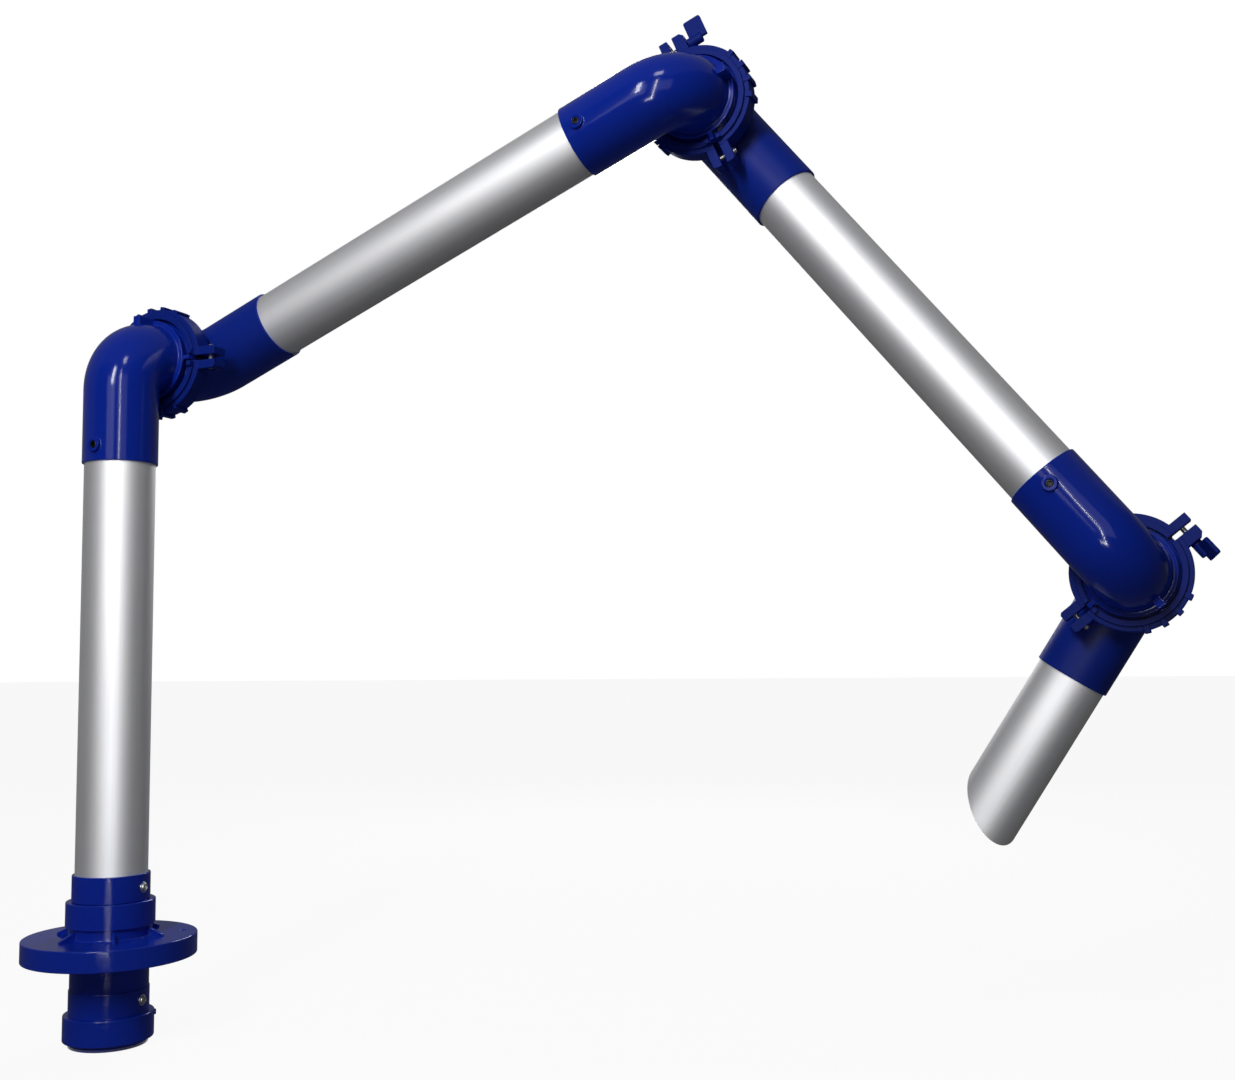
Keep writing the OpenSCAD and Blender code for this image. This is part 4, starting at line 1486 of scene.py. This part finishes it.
@dataclass(frozen=True)
class Arms:
    """The mast, the two arms and the nozzle, from the layout."""

    layout: Layout
    elbow: Elbow = Elbow()
    tube: Tube = Tube()
    tube_gap: float = 66.1
    mast_foot: float = 26.3
    nozzle_len: float = 292.0
    nozzle_slant: float = 38.0
    nozzle_turn: float = -44.0

    def screws(self, place: Place, name: str, body: str, ends: Sequence[tuple[float, float]]
               ) -> None:
        """Makes the grub screws of one tube's elbows.

        Args:
            place: The frame of the tube.
            name: The solid that they stand for.
            body: The body that they ride on.
            ends: Each screw's place along x, and 1 or -1 for its side of the tube.
        """
        solid = Solid(place)
        for boss_x, way in ends:
            Elbow(boss_x=boss_x).screw(solid, way)
        solid.finished(f"{name}_steel", DARK_ZINC, body, name)

    def mast(self) -> None:
        """Makes the mast tube and its elbow."""
        end = self.layout.end(0)
        self.tube.make("mast_tube", Place.along(np.zeros(3), 90), self.mast_foot,
                       end.origin[2] - self.tube_gap, "mast")
        self.elbow.make("mast_elbow", end, GLOSS_BLUE, "mast", True)
        self.screws(end, "mast_grub_screw", "mast", [(self.elbow.boss_x, -1.0)])

    def arm(self, number: int, name: str) -> None:
        """Makes one arm: its two elbows, its tube and their grub screws.

        Args:
            number: The number of its tube.
            name: The name of its body.
        """
        start, end = self.layout.start(number), self.layout.end(number)
        length = float(np.linalg.norm(end.origin - start.origin))
        self.elbow.make(f"{name}_entry_elbow", start, SATIN_BLUE, name, False)
        self.tube.make(f"{name}_tube", start, self.tube_gap, length - self.tube_gap, name)
        self.elbow.make(f"{name}_exit_elbow", end, GLOSS_BLUE, name, True)
        boss_x = self.elbow.boss_x
        self.screws(start, f"{name}_grub_screws", name, [(boss_x, 1.0), (length - boss_x, -1.0)])

    def nozzle(self) -> None:
        """Makes the nozzle elbow and the slanted tube."""
        start = self.layout.start(3)
        self.elbow.make("nozzle_elbow", start, SATIN_BLUE, "nozzle", False)
        self.tube.make("nozzle_tube", start, self.tube_gap, self.nozzle_len, "nozzle",
                       self.nozzle_slant, self.nozzle_turn)
        self.screws(start, "nozzle_grub_screw", "nozzle", [(self.elbow.boss_x, 1.0)])

    def make(self) -> None:
        """Makes the mast, both arms and the nozzle."""
        self.mast()
        self.arm(1, "lower_arm")
        self.arm(2, "upper_arm")
        self.nozzle()


# Studio

@dataclass(frozen=True)
class Softbox:
    """An area lamp aimed at a point."""

    name: str
    at: tuple[float, float, float]
    aim: tuple[float, float, float]
    size: tuple[float, float]
    watts: float
    lights: bool = True

    def make(self) -> None:
        """Adds the lamp, which only reflections see where it lights nothing."""
        lamp = bpy.data.lights.new(self.name, "AREA")
        lamp.shape = "RECTANGLE"
        lamp.size, lamp.size_y = self.size
        lamp.energy = self.watts
        holder = linked(self.name, lamp)
        holder.location = self.at
        holder.rotation_euler = (Vector(self.aim) - Vector(self.at)).to_track_quat(
            "-Z", "Y").to_euler()
        holder.visible_diffuse = self.lights


@dataclass(frozen=True)
class Card:
    """A dark card or a bright window that only reflections see."""

    name: str
    at: tuple[float, float, float]
    aim: tuple[float, float, float]
    size: tuple[float, float]
    grey: float

    def make(self) -> None:
        """Adds the card, facing the point that it is aimed at."""
        mesh = sheet_mesh(self.name, self.size[0] / 2, self.size[1] / 2)
        card = linked(self.name, mesh)
        turn = (Vector(self.aim) - Vector(self.at)).to_track_quat("Z", "Y")
        mesh.transform(Matrix.Translation(self.at) @ turn.to_matrix().to_4x4())
        made = bpy.data.materials.new(self.name)
        graph = Graph(made)
        graph.show(graph.node("ShaderNodeEmission", inputs={"Color": (self.grey,) * 3 + (1,)}))
        mesh.materials.append(made)
        for ray in ("camera", "diffuse", "shadow", "transmission", "volume_scatter"):
            setattr(card, f"visible_{ray}", False)


@dataclass(frozen=True)
class Studio:
    """The camera, the floor, the white surroundings and the lamps."""

    eye: tuple[float, float, float] = (1.0910, -1.2174, 0.3088)
    forward: tuple[float, float, float] = (-0.3767, 0.9223, 0.0868)
    right: tuple[float, float, float] = (0.9254, 0.3789, -0.0099)
    focal_px: float = 1402.9
    image_px: tuple[int, int] = (1235, 1080)
    sensor: float = 36.0
    clip: tuple[float, float] = (0.01, 100.0)
    floor_z: float = -0.0912
    floor_half: float = 30.0
    floor_glow: float = 0.93
    floor_dark: tuple[float, float, float] = (0.3, 0.3, 0.3)
    floor_paint: tuple[float, float, float] = (0.85, 0.85, 0.86)
    ambient: float = 0.05
    middle: tuple[float, float, float] = (0.45, 0.15, 0.45)
    room: float = 12.0
    room_overlap: float = 0.2
    card_z: float = -0.088

    def camera(self) -> None:
        """Adds the camera at the place and with the lens of the photograph."""
        data = bpy.data.cameras.new("camera")
        data.sensor_width = self.sensor
        data.lens = self.focal_px / self.image_px[0] * self.sensor
        data.clip_start, data.clip_end = self.clip
        holder = linked("camera", data)
        back = -Vector(self.forward).normalized()
        right = Vector(self.right).normalized()
        up = back.cross(right).normalized()
        right = up.cross(back).normalized()
        turn = Matrix((right, up, back)).transposed()
        holder.matrix_world = Matrix.Translation(self.eye) @ turn.to_4x4()
        bpy.context.scene.camera = holder

    def floor(self) -> None:
        """Adds the pale floor, white to the camera and keeping the object's shadow."""
        mesh = sheet_mesh("floor", self.floor_half, self.floor_half, self.floor_z)
        floor = linked("floor", mesh)
        made = bpy.data.materials.new("floor")
        graph = Graph(made)
        dim, paint = (graph.node("ShaderNodeBsdfDiffuse", inputs={"Color": (*colour, 1)})
                      for colour in (self.floor_dark, self.floor_paint))
        glow = graph.node("ShaderNodeEmission", inputs={"Color": WHITE})
        pale = graph.node("ShaderNodeMixShader", inputs={0: self.floor_glow, 1: paint, 2: glow})
        mixed = graph.node("ShaderNodeMixShader", inputs={0: self._seen(graph), 1: dim, 2: pale})
        graph.show(mixed)
        mesh.materials.append(made)

    def _seen(self, graph: Graph) -> Value:
        """Says which rays see the white surroundings.

        Args:
            graph: The graph that asks.

        Returns:
            1 for rays of the camera, of reflections and through glass, or else 0.
        """
        path = graph.node("ShaderNodeLightPath")
        seen = (graph.pick(path, "Is Camera Ray") + graph.pick(path, "Is Glossy Ray")
                + graph.pick(path, "Is Transmission Ray"))
        return seen.apply("MINIMUM", seen, 1.0)

    def world(self) -> None:
        """Makes the surroundings white to the camera and to reflections."""
        world = bpy.data.worlds.new("world")
        bpy.context.scene.world = world
        graph = Graph(world)
        seen = self._seen(graph)
        soft, white = (graph.node("ShaderNodeBackground", inputs={
            "Color": WHITE, "Strength": strength}) for strength in (self.ambient, 1.0))
        mixed = graph.node("ShaderNodeMixShader", inputs={0: seen, 1: soft, 2: white})
        graph.node("ShaderNodeOutputWorld", inputs={"Surface": mixed})

    def lamps(self) -> None:
        """Adds the lamps, and the closed room and the windows that gloss shows."""
        middle = self.middle
        for lamp in (
                Softbox("key", (0.45, -1.75, 1.45), middle, (0.25, 0.8), 20),
                Softbox("high", (1.1, -1.1, 2.2), middle, (0.35, 0.35), 5),
                Softbox("rear", (-0.2, 2.5, 1.7), middle, (0.8, 1.2), 24),
                Softbox("low", (1.3, -2.0, 0.04), middle, (0.5, 0.24), 5.5, False),
                Softbox("line", (1.45, -1.91, 1.0), (0, 0, 1.0), (0.03, 2.1), 18, False)):
            lamp.make()
        x, y = middle[:2]
        half, wide, z = self.room / 2, self.room + self.room_overlap, self.card_z
        for name, at, aim, grey in (
                ("front_card", (x, y - half, z), (x, y, z), 0.04),
                ("left_card", (x - half, y, z), (x, y, z), 0.18),
                ("right_card", (x + half, y, z), (x, y, z), 0.05),
                ("back_card", (x, y + half, z), (x, y, z), 0.12),
                ("ceiling_card", (x, y, half), (x, y, z), 0.20),
                ("low_card", (x, y, z), (x, y, half), 0.06)):
            Card(name, at, aim, (wide, wide), grey).make()
        Card("left_pane", (0.45, -2.65, 1.25), (0, 0, 0.8), (1.1, 1.1), 2.0).make()
        Card("right_pane", (1.85, -1.9, 1.25), (0, 0, 0.8), (1.3, 1.1), 1.1).make()

    def make(self) -> None:
        """Makes the whole studio."""
        bpy.context.scene.view_settings.view_transform = "Standard"
        self.camera()
        self.floor()
        self.world()
        self.lamps()


def main() -> None:
    """Builds the bench unit, the arms and the joints, and then the studio."""
    logging.basicConfig(level=logging.INFO, format="%(message)s")
    layout = Layout.read()
    BenchUnit().make()
    Arms(layout).make()
    for number, turn in KNOB_TURNS.items():
        ClampJoint(number, turn).make(layout.ring(number))
    Studio().make()


if __name__ == "__main__":
    main()
